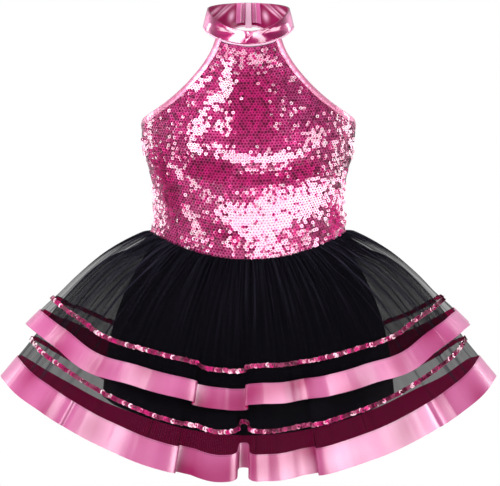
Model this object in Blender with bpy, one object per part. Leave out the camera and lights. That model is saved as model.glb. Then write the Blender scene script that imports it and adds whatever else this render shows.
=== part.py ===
"""Girl's halter-neck ballet tutu dress, in the hollow shape that it has when worn.

Units are metres and +Z is up. The front faces -Y and the origin is the middle of the
neck. Angles round the body are in degrees: 0 is the middle of the front, 90 is the side
seam at +X, 180 the middle of the back and -90 (or 270) the side seam at -X.
"""

import math
from collections import namedtuple

import bpy
import numpy as np

# Thickness of each cloth, and the gap that two pieces keep where they meet.
SEQUIN_CLOTH = 0.0015
COLLAR_CLOTH = 0.0015
BINDING_CLOTH = 0.0007
TULLE = 0.0010
LINING_CLOTH = 0.0010
RIBBON = 0.0008
BRAID = 0.0016
CLOSURE_CLOTH = 0.0010
SEAM_GAP = 0.0003

# Widths of the trims. The skirt tables below hold a row at each of their edges.
BINDING_WIDTH = 0.0065
PIPING_RADIUS = 0.0008

# The waist seam: level at the side seams, lower in the middle of front and back.
WAIST_HALF_WIDTH = 0.1064
WAIST_HALF_DEPTH = 0.0764
WAIST_SIDE_Z = -0.2320
WAIST_MIDDLE_Z = -0.2595

# Rows of a skirt layer run from the waist to the hem. gather is how far its fine
# gathers stand out there, and ruffle is the share that its folds and waves have reached.
SkirtRow = namedtuple(
    "SkirtRow", "half_width half_depth side_z middle_z gather ruffle"
)
UPPER_TIER = (
    SkirtRow(0.1057, 0.0757, -0.2331, -0.2606, 0.0, 0.0),
    SkirtRow(0.1195, 0.0855, -0.2378, -0.2680, 0.0028, 0.05),
    SkirtRow(0.1530, 0.1030, -0.2545, -0.2980, 0.0028, 0.20),
    SkirtRow(0.1890, 0.1190, -0.2830, -0.3390, 0.0018, 0.48),
    SkirtRow(0.2135, 0.1280, -0.3062, -0.3730, 0.0010, 0.72),
    SkirtRow(0.2173, 0.1290, -0.3094, -0.3780, 0.0009, 0.75),
    SkirtRow(0.2289, 0.1315, -0.3200, -0.3940, 0.0004, 0.87),
    SkirtRow(0.2450, 0.1340, -0.3355, -0.4165, 0.0, 1.0),
)
LOWER_TIER = (
    SkirtRow(0.1037, 0.0737, -0.2326, -0.2601, 0.0, 0.0),
    SkirtRow(0.1120, 0.0790, -0.2435, -0.2715, 0.0018, 0.04),
    SkirtRow(0.1580, 0.0955, -0.2662, -0.3200, 0.0022, 0.22),
    SkirtRow(0.2030, 0.1130, -0.3080, -0.3850, 0.0016, 0.50),
    SkirtRow(0.2367, 0.1245, -0.3508, -0.4425, 0.0009, 0.75),
    SkirtRow(0.2398, 0.1252, -0.3547, -0.4475, 0.0008, 0.78),
    SkirtRow(0.2535, 0.1280, -0.3715, -0.4695, 0.0003, 0.88),
    SkirtRow(0.2720, 0.1300, -0.3938, -0.4985, 0.0, 1.0),
)
LINING = (
    SkirtRow(0.1012, 0.0712, -0.2300, -0.2575, 0.0, 0.0),
    SkirtRow(0.1060, 0.0750, -0.2450, -0.2740, 0.0008, 0.05),
    SkirtRow(0.1250, 0.0850, -0.2790, -0.3140, 0.0015, 0.30),
    SkirtRow(0.1430, 0.0940, -0.3190, -0.3560, 0.0010, 0.60),
    SkirtRow(0.1545, 0.1005, -0.3620, -0.4000, 0.0005, 0.80),
    SkirtRow(0.1610, 0.1050, -0.4150, -0.4500, 0.0, 1.0),
)
# A tier's rows that bound its braid and its ribbon.
BRAID_TOP_ROW = 4
BRAID_BOTTOM_ROW = 5
RIBBON_TOP_ROW = 6
HEM_ROW = 7

# A fold is a Z in plan: the cloth doubles back under itself by about the overlap.
# front_side is -1 where the cloth before the fold lies in front and 1 where the cloth
# after it does. The drops lower the hem just before and just after the fold.
Fold = namedtuple(
    "Fold", "angle half_angle front_side overlap step drop_before drop_after"
)
UPPER_FOLDS = (
    Fold(-14.2, 4.3, -1, 0.0090, 0.0120, -0.0020, 0.0020),
    Fold(-0.4, 4.3, 1, 0.0090, 0.0120, 0.0030, -0.0030),
    Fold(61.0, 6.0, 1, 0.0040, 0.0070, 0.0, 0.0),
    Fold(158.0, 4.5, 1, 0.0090, 0.0120, 0.0020, -0.0020),
    Fold(186.0, 4.5, -1, 0.0090, 0.0120, -0.0020, 0.0030),
    Fold(-116.0 + 360.0, 6.0, -1, 0.0060, 0.0090, 0.0, 0.0),
)
LOWER_FOLDS = (
    Fold(-48.0, 5.0, -1, 0.0060, 0.0090, 0.0, 0.0),
    Fold(-17.3, 4.0, -1, 0.0095, 0.0130, -0.0005, -0.0030),
    Fold(-2.7, 1.9, -1, 0.0030, 0.0070, 0.0020, -0.0075),
    Fold(0.3, 1.9, 1, 0.0040, 0.0090, -0.0060, 0.0040),
    Fold(16.6, 4.0, 1, 0.0095, 0.0130, -0.0025, 0.0015),
    Fold(50.0, 5.0, 1, 0.0060, 0.0090, 0.0, 0.0),
    Fold(150.0, 4.3, -1, 0.0090, 0.0120, 0.0020, -0.0040),
    Fold(178.0, 4.3, 1, 0.0090, 0.0120, -0.0020, 0.0020),
    Fold(205.0, 4.3, 1, 0.0090, 0.0120, -0.0040, 0.0020),
)
# A wave swells the cloth out, or in where out is negative, and lowers the hem by drop.
Wave = namedtuple("Wave", "angle half_angle out drop")
UPPER_WAVES = (
    Wave(-45.0, 15.0, 0.0060, 0.0070),
    Wave(-70.0, 12.0, -0.0050, -0.0010),
    Wave(14.7, 6.5, -0.0085, -0.0020),
    Wave(30.0, 9.0, 0.0030, 0.0010),
    Wave(45.0, 14.0, 0.0060, 0.0070),
    Wave(76.0, 10.0, -0.0050, -0.0010),
    Wave(88.0, 14.0, -0.0035, 0.0),
    Wave(106.0, 12.0, 0.0060, 0.0020),
    Wave(124.0, 12.0, -0.0060, -0.0010),
    Wave(142.0, 10.0, 0.0050, 0.0030),
    Wave(172.0, 7.0, -0.0060, -0.0020),
    Wave(206.0, 10.0, 0.0050, 0.0030),
    Wave(224.0, 10.0, -0.0070, -0.0010),
    Wave(256.0, 11.0, 0.0050, 0.0020),
)
LOWER_WAVES = (
    Wave(-66.0, 12.0, 0.0050, 0.0020),
    Wave(-33.0, 9.0, 0.0040, -0.0010),
    Wave(-8.0, 8.0, 0.0, 0.0035),
    Wave(-1.2, 3.0, -0.0040, -0.0020),
    Wave(8.0, 5.0, 0.0030, 0.0010),
    Wave(34.0, 9.0, 0.0040, 0.0005),
    Wave(52.0, 34.0, 0.0, 0.0050),
    Wave(67.0, 12.0, 0.0050, 0.0020),
    Wave(104.0, 11.0, -0.0060, -0.0020),
    Wave(122.0, 11.0, 0.0060, 0.0030),
    Wave(137.0, 9.0, -0.0060, -0.0010),
    Wave(165.0, 8.0, 0.0050, 0.0020),
    Wave(191.0, 8.0, -0.0060, -0.0010),
    Wave(222.0, 11.0, 0.0060, 0.0030),
    Wave(241.0, 11.0, -0.0060, -0.0010),
    Wave(257.0, 10.0, 0.0050, 0.0010),
)
LINING_WAVES = tuple(
    Wave(angle, 14.0, out, 0.0)
    for angle, out in (
        (-62.0, 0.0030),
        (-34.0, -0.0030),
        (-6.0, 0.0030),
        (22.0, -0.0030),
        (50.0, 0.0030),
        (78.0, -0.0030),
        (108.0, 0.0030),
        (137.0, -0.0030),
        (166.0, 0.0030),
        (196.0, -0.0030),
        (224.0, 0.0030),
        (252.0, -0.0030),
    )
)
# How fast the cloth settles back beside a fold, and how columns crowd at a fold.
FOLD_FADE = 2.2
FOLD_CROWDING = 3.2
CROWDING_SPREAD = 1.05
# Gathers differ in height by this share, over about ten columns.
GATHER_VARIATION = 0.22
GATHER_RHYTHM = 0.61

# Columns from side seam to side seam. A gather takes four of them.
TIER_COLUMNS = 52
LINING_COLUMNS = 28
BODICE_COLUMNS = 24
GATHER_COLUMNS = 4
# Samples for spacing the columns, the angle from which an edge is sharp, and the
# evenness under which a wall is allowed to thin at a bend.
SPACING_SAMPLES = 1441
SHARP_ANGLE = math.radians(50)
LEAST_EVENNESS = 0.75

# Rows of the bodice front from the collar to the waist. edge is where the cut edge
# runs: the armhole down to the underarm, then the side seam. half_width and half_depth
# are those of the body's section there, on the outside of the cloth.
BodiceRow = namedtuple("BodiceRow", "edge_x edge_z middle_z half_width half_depth")
ARMHOLE_ROWS = (
    BodiceRow(0.0355, -0.0240, -0.0318, 0.0500, 0.0430),
    BodiceRow(0.0392, -0.0345, -0.0425, 0.0620, 0.0485),
    BodiceRow(0.0446, -0.0445, -0.0520, 0.0740, 0.0540),
    BodiceRow(0.0509, -0.0540, -0.0610, 0.0840, 0.0590),
    BodiceRow(0.0577, -0.0625, -0.0690, 0.0920, 0.0635),
    BodiceRow(0.0657, -0.0715, -0.0770, 0.0990, 0.0680),
    BodiceRow(0.0749, -0.0805, -0.0850, 0.1050, 0.0720),
    BodiceRow(0.0850, -0.0893, -0.0930, 0.1100, 0.0755),
    BodiceRow(0.0964, -0.0980, -0.1010, 0.1140, 0.0785),
    BodiceRow(0.1083, -0.1062, -0.1095, 0.1163, 0.0810),
    BodiceRow(0.1147, -0.1112, -0.1150, 0.1167, 0.0825),
)
# From the underarm down both panels share these rows. back_z is the middle of the back.
SideRow = namedtuple("SideRow", "side_z front_z back_z half_width front_depth back_depth")
SIDE_ROWS = (
    SideRow(-0.1150, -0.1205, -0.1400, 0.1166, 0.0840, 0.0740),
    SideRow(-0.1330, -0.1405, -0.1560, 0.1160, 0.0860, 0.0735),
    SideRow(-0.1510, -0.1615, -0.1740, 0.1125, 0.0868, 0.0730),
    SideRow(-0.1710, -0.1845, -0.1950, 0.1077, 0.0856, 0.0725),
    SideRow(-0.1920, -0.2095, -0.2160, 0.1036, 0.0825, 0.0725),
    SideRow(-0.2130, -0.2350, -0.2380, 0.1030, 0.0790, 0.0740),
    SideRow(
        WAIST_SIDE_Z, WAIST_MIDDLE_Z, WAIST_MIDDLE_Z,
        WAIST_HALF_WIDTH, WAIST_HALF_DEPTH, WAIST_HALF_DEPTH,
    ),
)

# The collar leans in to its top edge and drops towards the front. Its lower edge is
# drawn up by closure_rise where it closes, over CLOSURE_REACH on each side.
CollarRow = namedtuple(
    "CollarRow", "half_width half_depth side_z front_z back_z closure_rise"
)
COLLAR_ROWS = (
    CollarRow(0.0451, 0.0387, 0.0105, -0.0135, 0.0172, 0.0),
    CollarRow(0.0478, 0.0410, 0.0008, -0.0220, 0.0030, 0.0021),
    CollarRow(0.0500, 0.0430, -0.0090, -0.0294, -0.0119, 0.0042),
)
CLOSURE_REACH = 0.0200
COLLAR_DIP_POWER = 1.4
COLLAR_COLUMNS = 30
# Half widths, round the middle of the back, of the slit where the collar closes, of the
# tape behind it, and of the inner and outer edges of the overlocked ends.
SLIT_HALF_WIDTH = 0.0003
STRIP_HALF_WIDTH = 0.0034
EDGE_INNER = 0.0045
EDGE_OUTER = 0.0145
STRIP_BELOW_COLLAR = 0.0030


def unit(vectors):
    return vectors / np.linalg.norm(vectors, axis=-1, keepdims=True)


def ring(half_width, half_depth, side_z, middle_z, angles):
    """Points round an ellipse whose height goes from the sides to the middle."""
    across = np.sin(np.radians(angles))
    ahead = np.cos(np.radians(angles))
    height = side_z + (middle_z - side_z) * ahead**2
    return np.stack([half_width * across, -half_depth * ahead, height], axis=-1)


def outward(points, closed):
    """A normal for each point of a grid, longer at a bend so that walls stay even."""
    if closed:
        points = np.concatenate([points[:, -1:], points, points[:, :1]], axis=1)
    rise = points[1:, 1:] - points[:-1, :-1]
    fall = points[1:, :-1] - points[:-1, 1:]
    faces = unit(np.cross(rise, fall) * -1.0)
    rows = np.concatenate([faces[:1], faces, faces[-1:]], axis=0)
    cells = np.concatenate([rows[:, :1], rows, rows[:, -1:]], axis=1)
    around = np.stack([cells[:-1, :-1], cells[:-1, 1:], cells[1:, :-1], cells[1:, 1:]])
    normals = unit(around.sum(axis=0))
    evenness = (around * normals).sum(axis=-1).mean(axis=0)
    normals = normals / np.clip(evenness, LEAST_EVENNESS, 1.0)[..., None]
    return normals[:, 1:-1] if closed else normals


def finish(name, mesh, material):
    """Adds the mesh to the scene, smooth but for its corners."""
    mesh.materials.append(material)
    mesh.shade_smooth()
    mesh.set_sharp_from_angle(angle=SHARP_ANGLE)
    made = bpy.data.objects.new(name, mesh)
    bpy.context.scene.collection.objects.link(made)
    return made


def triangles(points, closed):
    """Two triangles for each cell of a grid, split along its shorter diagonal."""
    rows, columns = points.shape[:2]
    found = []
    for row in range(rows - 1):
        for column in range(columns if closed else columns - 1):
            after = (column + 1) % columns
            top, top_after = row * columns + column, row * columns + after
            low, low_after = top + columns, top_after + columns
            falling = np.linalg.norm(points[row, column] - points[row + 1, after])
            rising = np.linalg.norm(points[row + 1, column] - points[row, after])
            if falling < rising:
                found += [(top, low, low_after), (top, low_after, top_after)]
            else:
                found += [(top, low, top_after), (low, low_after, top_after)]
    return found


def rim(rows, columns, closed):
    """The grid's outer edges, each running with the cloth on its left."""
    last = (rows - 1) * columns
    edges = []
    for column in range(columns if closed else columns - 1):
        after = (column + 1) % columns
        edges.append((after, column))
        edges.append((last + column, last + after))
    if not closed:
        for row in range(rows - 1):
            start = row * columns
            edges.append((start, start + columns))
            edges.append((start + 2 * columns - 1, start + columns - 1))
    return edges


def wall(name, points, normals, offsets, material, closed=False, trimmed=False):
    """A solid sheet on a grid of points, whose rows run down and whose columns run
    towards greater angles.

    offsets are how far its outer and its inner side lie from the points. All walls on
    one grid are split alike, so they keep their gaps. trimmed leaves half a gap at
    the side seams.
    """
    faces = triangles(points, closed)
    rows, columns = points.shape[:2]
    if trimmed:
        points = off_side_seams(points, SEAM_GAP / 2)
    inside = rows * columns
    faces += [tuple(inside + corner for corner in face[::-1]) for face in faces]
    for start, end in rim(rows, columns, closed):
        faces.append((start, inside + start, inside + end, end))
    sides = [(points + normals * offset).reshape(-1, 3) for offset in offsets]
    mesh = bpy.data.meshes.new(name)
    mesh.from_pydata(np.concatenate(sides).tolist(), [], faces)
    return finish(name, mesh, material)


def off_side_seams(points, gap):
    """The points held off the side seams, which all lie in the plane where y is 0."""
    facing = np.sign(points[..., 1].mean())
    points = points.copy()
    points[..., 1] = facing * np.maximum(facing * points[..., 1], gap)
    return points


def cloth_material(name, colour, roughness, metallic=0.0):
    material = bpy.data.materials.new(name)
    material.use_nodes = True
    shader = material.node_tree.nodes["Principled BSDF"]
    shader.inputs["Base Color"].default_value = (*colour, 1.0)
    shader.inputs["Roughness"].default_value = roughness
    shader.inputs["Metallic"].default_value = metallic
    return material


def column_angles(hem, folds, start, columns):
    """Angles from one side seam to the other, even along the hem but closer at folds."""
    fine = np.linspace(start, start + 180.0, SPACING_SAMPLES)
    radians = np.radians(fine)
    density = np.hypot(hem.half_width * np.cos(radians), hem.half_depth * np.sin(radians))
    density /= density.mean()
    for fold in folds:
        reach = fold.half_angle * CROWDING_SPREAD
        density += FOLD_CROWDING * np.exp(-(((fine - fold.angle) / reach) ** 2))
    passed = np.concatenate([[0.0], np.cumsum(density[1:] + density[:-1])])
    return np.interp(np.linspace(0.0, passed[-1], columns + 1), passed, fine)


def ruffle(angles, folds, waves):
    """How far the hem is pushed out, slid along and dropped at each angle."""
    push = np.zeros_like(angles)
    slide = np.zeros_like(angles)
    drop = np.zeros_like(angles)
    for fold in folds:
        across = ((angles - fold.angle + 180.0) % 360.0 - 180.0) / fold.half_angle
        inside = np.abs(across) < 1.0
        side = np.where(inside, np.sin(across * math.pi / 2), np.sign(across))
        fade = np.exp(-np.maximum(np.abs(across) - 1.0, 0.0) / FOLD_FADE)
        push += fold.front_side * fold.step / 2 * side * fade
        slide -= np.where(inside, fold.overlap * np.sin(across * math.pi), 0.0)
        drop += fade * (
            fold.drop_before * (1 - side) / 2 + fold.drop_after * (1 + side) / 2
        )
    for wave in waves:
        across = ((angles - wave.angle + 180.0) % 360.0 - 180.0) / wave.half_angle
        swell = np.cos(np.clip(across, -1.0, 1.0) * math.pi / 2) ** 2
        push += wave.out * swell
        drop += wave.drop * swell
    return push, slide, drop


def skirt_layer(rows, columns, folds, waves):
    """The middle surface of a skirt layer all round, and its normals."""
    hem = rows[-1]
    front = column_angles(hem, folds, -90.0, columns)
    back = column_angles(hem, folds, 90.0, columns)
    angles = np.concatenate([front[:-1], back[:-1]])
    base = np.stack([ring(*row[:4], angles) for row in rows])
    normals = unit(outward(base, closed=True))
    along = unit(np.roll(base, -1, axis=1) - np.roll(base, 1, axis=1))
    push, slide, drop = ruffle(angles, folds, waves)
    number = np.arange(len(angles))
    gather = np.sin(number * 2 * math.pi / GATHER_COLUMNS)
    gather *= 1.0 - GATHER_VARIATION * (1.0 - np.sin(number * GATHER_RHYTHM))
    share = np.array([row.ruffle for row in rows])[:, None]
    fine = np.array([row.gather for row in rows])[:, None]
    points = base + normals * (push * share + gather * fine)[..., None]
    points += along * (slide * share**2)[..., None]
    points[..., 2] -= drop * share
    return points, outward(points, closed=True)


def halves(grid, columns):
    """The front and the back of a grid that runs all round from the side seam at -X."""
    front = grid[:, : columns + 1]
    back = np.concatenate([grid[:, columns:], grid[:, :1]], axis=1)
    return front, back


def skirt_pieces(name, rows, columns, folds, waves, thickness, material):
    points, normals = skirt_layer(rows, columns, folds, waves)
    offsets = (thickness / 2, -thickness / 2)
    for side, spots, ways in zip(
        ("front", "back"), halves(points, columns), halves(normals, columns)
    ):
        wall(f"{name}_{side}", spots, ways, offsets, material, trimmed=True)
    return points, normals


def band(name, tier, first_row, last_row, thickness, material):
    """A trim sewn round a tier: the tier's own points between two rows, moved out."""
    points, normals = tier
    rows = slice(first_row, last_row + 1)
    inner = TULLE / 2 + SEAM_GAP
    offsets = (inner + thickness, inner)
    wall(name, points[rows], normals[rows], offsets, material, closed=True)


class FrontSurface:
    """The smooth front of the bodice. A level counts the table's rows from the collar
    down, and may lie between two of them."""

    def __init__(self):
        rows = [tuple(row) for row in ARMHOLE_ROWS]
        rows += [
            (row.half_width, row.side_z, row.front_z, row.half_width, row.front_depth)
            for row in SIDE_ROWS
        ]
        columns = np.array(rows).T
        self.edge_x, self.edge_z, self.middle_z, self.half_width, self.half_depth = columns
        self.levels = np.arange(len(rows), dtype=float)

    def read(self, column, level):
        return np.interp(level, self.levels, column)

    def edge_angle(self, level):
        share = self.read(self.edge_x, level) / self.read(self.half_width, level)
        return np.arcsin(np.minimum(share, 1.0))

    def point(self, level, angle):
        middle = 1.0 - (np.sin(angle) / np.sin(self.edge_angle(level))) ** 2
        edge_z = self.read(self.edge_z, level)
        across = self.read(self.half_width, level) * np.sin(angle)
        ahead = self.read(self.half_depth, level) * np.cos(angle)
        height = edge_z + (self.read(self.middle_z, level) - edge_z) * middle
        return np.stack([across, -ahead, height], axis=-1)

    def inside_edge(self, level, width):
        """The level and angle that lie a width inside the +X edge, square to it."""
        step = 1e-3
        angle = self.edge_angle(level)
        edge = self.point(level, angle)
        if level > len(ARMHOLE_ROWS):
            turned = np.linalg.norm(self.point(level, angle - step) - edge)
            return level, angle - step * width / turned
        along = edge - self.point(level - step, self.edge_angle(level - step))
        if level == 0:
            along = self.point(step, self.edge_angle(step)) - edge
        down = (self.point(level + step, angle) - edge) / step
        across = (edge - self.point(level, angle - step)) / step
        square = unit(np.cross(np.cross(across, down), along)) * width
        moves = np.linalg.lstsq(np.stack([down, across], axis=1), square, rcond=None)[0]
        return level + moves[0], angle + moves[1]


def bodice_front_grid():
    """The front from collar to waist. Its second column from each edge lies a binding's
    width away from the edge, square to the armhole."""
    surface = FrontSurface()
    rows = []
    for level in surface.levels:
        near_level, near = surface.inside_edge(level, BINDING_WIDTH)
        angles = np.linspace(-near, near, BODICE_COLUMNS - 1)
        aside = (np.sin(angles) / np.sin(near)) ** 2
        inner = surface.point(level + (near_level - level) * aside, angles)
        edge = surface.edge_angle(level)
        corners = surface.point(level, np.array([-edge, edge]))
        rows.append(np.concatenate([corners[:1], inner, corners[1:]]))
    points = np.stack(rows)
    return points, outward(points, closed=False)


def bodice_back_grid():
    """The back from its open top edge to the waist, with a row at the binding's edge."""
    angles = np.linspace(90.0, 270.0, BODICE_COLUMNS + 1)
    rows = [
        ring(row.half_width, row.back_depth, row.side_z, row.back_z, angles)
        for row in SIDE_ROWS
    ]
    rows.insert(1, rows[0] + unit(rows[1] - rows[0]) * BINDING_WIDTH)
    points = np.stack(rows)
    return points, outward(points, closed=False)


def binding_turns(edge, neighbour):
    """The four lines of a strip folded over a panel's edge, from its inner leg's end
    to its outer leg's end. Both lines of the panel come with their normals, and the
    legs end at the neighbour."""
    reach = SEAM_GAP + BINDING_CLOTH / 2
    inside = -SEQUIN_CLOTH - reach
    over = unit(edge[0] - neighbour[0]) * reach
    lines = [
        neighbour[0] + neighbour[1] * inside,
        edge[0] + edge[1] * inside + over,
        edge[0] + edge[1] * reach + over,
        neighbour[0] + neighbour[1] * reach,
    ]
    return off_side_seams(np.stack(lines), SEAM_GAP)


def binding(name, grid, material):
    offsets = (BINDING_CLOTH / 2, -BINDING_CLOTH / 2)
    wall(name, grid, outward(grid, closed=False), offsets, material)


def collar_ring(row, angles):
    """One row of the collar: it dips to the front, and turns up at its sides."""
    turned = np.radians(angles)
    ahead = np.cos(turned)
    across = row.half_width * np.sin(turned)
    near = np.clip(np.abs(across) / CLOSURE_REACH, 0.0, 1.0)
    rise = row.closure_rise * np.cos(near**2 * math.pi / 2) ** 2
    dip = np.maximum(ahead, 0.0) ** COLLAR_DIP_POWER
    height = np.where(
        ahead > 0,
        row.side_z + (row.front_z - row.side_z) * dip,
        row.side_z - (row.back_z - row.side_z) * ahead + rise,
    )
    return np.stack([across, -row.half_depth * ahead, height], axis=-1)


def collar_angles():
    """Even round the neck, with columns at the edges of the closure's pieces."""
    neck = COLLAR_ROWS[1].half_width
    edges = np.degrees(
        np.array([EDGE_OUTER, EDGE_INNER, STRIP_HALF_WIDTH, SLIT_HALF_WIDTH]) / neck
    )
    turn = 180.0 - edges[0]
    even = np.linspace(-turn, turn, COLLAR_COLUMNS + 1)
    return np.concatenate([-180.0 + edges[:0:-1], even, 180.0 - edges[1:]])


def collar_grid():
    angles = collar_angles()
    points = np.stack([collar_ring(row, angles) for row in COLLAR_ROWS])
    return points, outward(points, closed=False)


def closure_piece(name, start, end, below, material):
    """A flat strip on the inside of the collar's back, between two distances from its
    middle."""
    neck = COLLAR_ROWS[1].half_width
    angles = 180.0 + np.degrees(np.array([start, end]) / neck)
    points = np.stack([collar_ring(row, angles) for row in COLLAR_ROWS])
    points[-1, :, 2] -= below
    normals = outward(points, closed=False)
    near = -COLLAR_CLOTH - SEAM_GAP
    wall(name, points, normals, (near, near - CLOSURE_CLOTH), material)


def collar_piping(collar, material):
    """A round cord along the collar's lower edge, open where the collar closes."""
    points, normals = collar
    along = np.gradient(points[-1], axis=0)
    below = unit(np.cross(along, normals[-1]))
    middle = points[-1] - normals[-1] * COLLAR_CLOTH / 2
    path = middle + below * (SEAM_GAP + PIPING_RADIUS)
    curve = bpy.data.curves.new("collar_piping", "CURVE")
    curve.dimensions = "3D"
    curve.bevel_depth = PIPING_RADIUS
    curve.bevel_resolution = 1
    curve.use_fill_caps = True
    spline = curve.splines.new("POLY")
    spline.points.add(len(path) - 1)
    for spot, point in zip(spline.points, path):
        spot.co = (*point, 1.0)
    curve.materials.append(material)
    made = bpy.data.objects.new("collar_piping", curve)
    bpy.context.scene.collection.objects.link(made)


for leftover in list(bpy.data.objects):
    bpy.data.objects.remove(leftover)

sequins = cloth_material("sequin_cloth", (0.52, 0.09, 0.30), 0.30, 0.6)
foil = cloth_material("foil_cloth", (0.62, 0.13, 0.36), 0.25, 0.8)
piping = cloth_material("piping_cloth", (0.85, 0.50, 0.66), 0.40)
closure = cloth_material("closure_cloth", (0.70, 0.28, 0.46), 0.55)
black_tulle = cloth_material("black_tulle", (0.006, 0.005, 0.006), 0.80)
black_lining = cloth_material("black_lining", (0.004, 0.003, 0.004), 0.70)
satin = cloth_material("satin_ribbon", (0.68, 0.17, 0.38), 0.35)
braid = cloth_material("sequin_braid", (0.48, 0.06, 0.24), 0.30, 0.6)

# Skirt: the lining inside, the long tier over it and the short tier outermost.
skirt_pieces("lining", LINING, LINING_COLUMNS, (), LINING_WAVES, LINING_CLOTH, black_lining)
lower_tier = skirt_pieces(
    "tier_lower", LOWER_TIER, TIER_COLUMNS, LOWER_FOLDS, LOWER_WAVES, TULLE, black_tulle
)
upper_tier = skirt_pieces(
    "tier_upper", UPPER_TIER, TIER_COLUMNS, UPPER_FOLDS, UPPER_WAVES, TULLE, black_tulle
)
for level, tier in (("lower", lower_tier), ("upper", upper_tier)):
    band(f"ribbon_{level}", tier, RIBBON_TOP_ROW, HEM_ROW, RIBBON, satin)
    band(f"braid_{level}", tier, BRAID_TOP_ROW, BRAID_BOTTOM_ROW, BRAID, braid)

# Bodice: front and back, with bindings over the armholes and the top of the back.
front, front_normals = bodice_front_grid()
back, back_normals = bodice_back_grid()
bodice_offsets = (0.0, -SEQUIN_CLOTH)
wall("bodice_front", front, front_normals, bodice_offsets, sequins, trimmed=True)
wall("bodice_back", back, back_normals, bodice_offsets, sequins, trimmed=True)
armhole = np.stack([front, front_normals])[:, : len(ARMHOLE_ROWS) + 1]
right = binding_turns(armhole[:, :, 0], armhole[:, :, 1])
left = binding_turns(armhole[:, :, -1], armhole[:, :, -2])
top = np.stack([back, back_normals])
binding("binding_right", np.swapaxes(right, 0, 1), foil)
binding("binding_left", np.swapaxes(left[::-1], 0, 1), foil)
binding("binding_back", binding_turns(top[:, 0], top[:, 1]), foil)

# Collar, its piping, and the closure inside its back.
collar = collar_grid()
wall("collar", *collar, (0.0, -COLLAR_CLOTH), foil)
collar_piping(collar, piping)
closure_piece("closure_strip", -STRIP_HALF_WIDTH, STRIP_HALF_WIDTH, STRIP_BELOW_COLLAR, closure)
closure_piece("closure_edge_left", -EDGE_OUTER, -EDGE_INNER, 0.0, closure)
closure_piece("closure_edge_right", EDGE_INNER, EDGE_OUTER, 0.0, closure)
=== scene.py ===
"""Girl's halter-neck ballet tutu dress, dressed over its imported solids.

Metres, +Z up, front towards -Y, the origin in the middle of the neck. Angles round the
body are in degrees: 0 is the middle of the front, 90 the side seam at +X, 180 the back.
"""

import math
from collections import namedtuple

import bpy
import numpy as np
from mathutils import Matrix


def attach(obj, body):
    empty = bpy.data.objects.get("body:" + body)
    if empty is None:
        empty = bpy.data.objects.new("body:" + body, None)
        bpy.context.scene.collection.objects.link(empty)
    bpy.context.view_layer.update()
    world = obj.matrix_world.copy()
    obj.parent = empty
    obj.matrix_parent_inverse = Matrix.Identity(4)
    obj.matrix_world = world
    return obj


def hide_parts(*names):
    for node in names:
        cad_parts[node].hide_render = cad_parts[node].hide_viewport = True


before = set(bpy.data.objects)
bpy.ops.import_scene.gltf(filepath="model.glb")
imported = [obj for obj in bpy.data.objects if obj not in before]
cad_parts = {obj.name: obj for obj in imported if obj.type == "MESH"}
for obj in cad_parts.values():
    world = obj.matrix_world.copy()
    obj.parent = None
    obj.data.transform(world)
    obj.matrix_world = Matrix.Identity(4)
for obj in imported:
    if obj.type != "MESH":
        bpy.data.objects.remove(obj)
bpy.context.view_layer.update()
bpy.ops.object.select_all(action="DESELECT")


# Camera
# The dress is seen from the front, from a little above its middle, by a long lens: one
# pixel of the 500 x 486 picture is 1.1 mm at the dress.
CAMERA_DISTANCE = 4.2
CAMERA_RISE = math.radians(2.5)
AIM_HEIGHT = -0.25
FRAME_WIDTH = 0.55
SHIFT_ACROSS, SHIFT_UP = 0.003, 0.0046


def add_object(name, data):
    """An object of the scene that holds this data."""
    made = bpy.data.objects.new(name, data)
    bpy.context.scene.collection.objects.link(made)
    return made


camera_data = bpy.data.cameras.new("camera")
camera_data.lens = camera_data.sensor_width * CAMERA_DISTANCE / FRAME_WIDTH
camera_data.shift_x = SHIFT_ACROSS
camera_data.shift_y = SHIFT_UP
camera = add_object("camera", camera_data)
camera.location = (
    0.0,
    -CAMERA_DISTANCE * math.cos(CAMERA_RISE),
    AIM_HEIGHT + CAMERA_DISTANCE * math.sin(CAMERA_RISE),
)
camera.rotation_euler = (math.pi / 2 - CAMERA_RISE, 0.0, 0.0)
bpy.context.scene.camera = camera


# Studio
# A white room: pale floor under the hanging dress, a bright wall behind it, a dimmer
# side with soft boxes in front, which foil and sequins mirror.
def rows_of(kind, rows):
    """A short table: each row's numbers get the names of its columns."""
    return [kind(*row) for row in rows]


def linear(code):
    """An sRGB hex colour as linear light."""
    parts = [int(code[start : start + 2], 16) / 255 for start in (1, 3, 5)]
    bright = [p / 12.92 if p < 0.04045 else ((p + 0.055) / 1.055) ** 2.4 for p in parts]
    return (*bright, 1.0)


def direction(azimuth, rise):
    """A unit vector from angles in degrees: azimuth round from -Y towards +X."""
    turned, raised = math.radians(azimuth), math.radians(rise)
    flat = math.cos(raised)
    return np.array(
        [math.sin(turned) * flat, -math.cos(turned) * flat, math.sin(raised)]
    )


def set_inputs(node, inputs):
    """Gives a node its inputs: each is a value, or the output that it is linked to."""
    for name, value in inputs.items():
        if isinstance(value, bpy.types.NodeSocket):
            node.id_data.links.new(value, node.inputs[name])
        else:
            node.inputs[name].default_value = value


def add_node(tree, kind, output, settings, inputs):
    """Adds a shader node with its settings and links, and gives one of its outputs."""
    made = tree.nodes.new("ShaderNode" + kind)
    for name, value in settings.items():
        setattr(made, name, value)
    set_inputs(made, inputs)
    return made.outputs[output]


def new_material(name, sockets):
    """A material whose own shader holds these values."""
    material = bpy.data.materials.new(name)
    material.use_nodes = True
    shader = material.node_tree.nodes["Principled BSDF"]
    set_inputs(shader, sockets)
    return material, material.node_tree, shader


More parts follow.
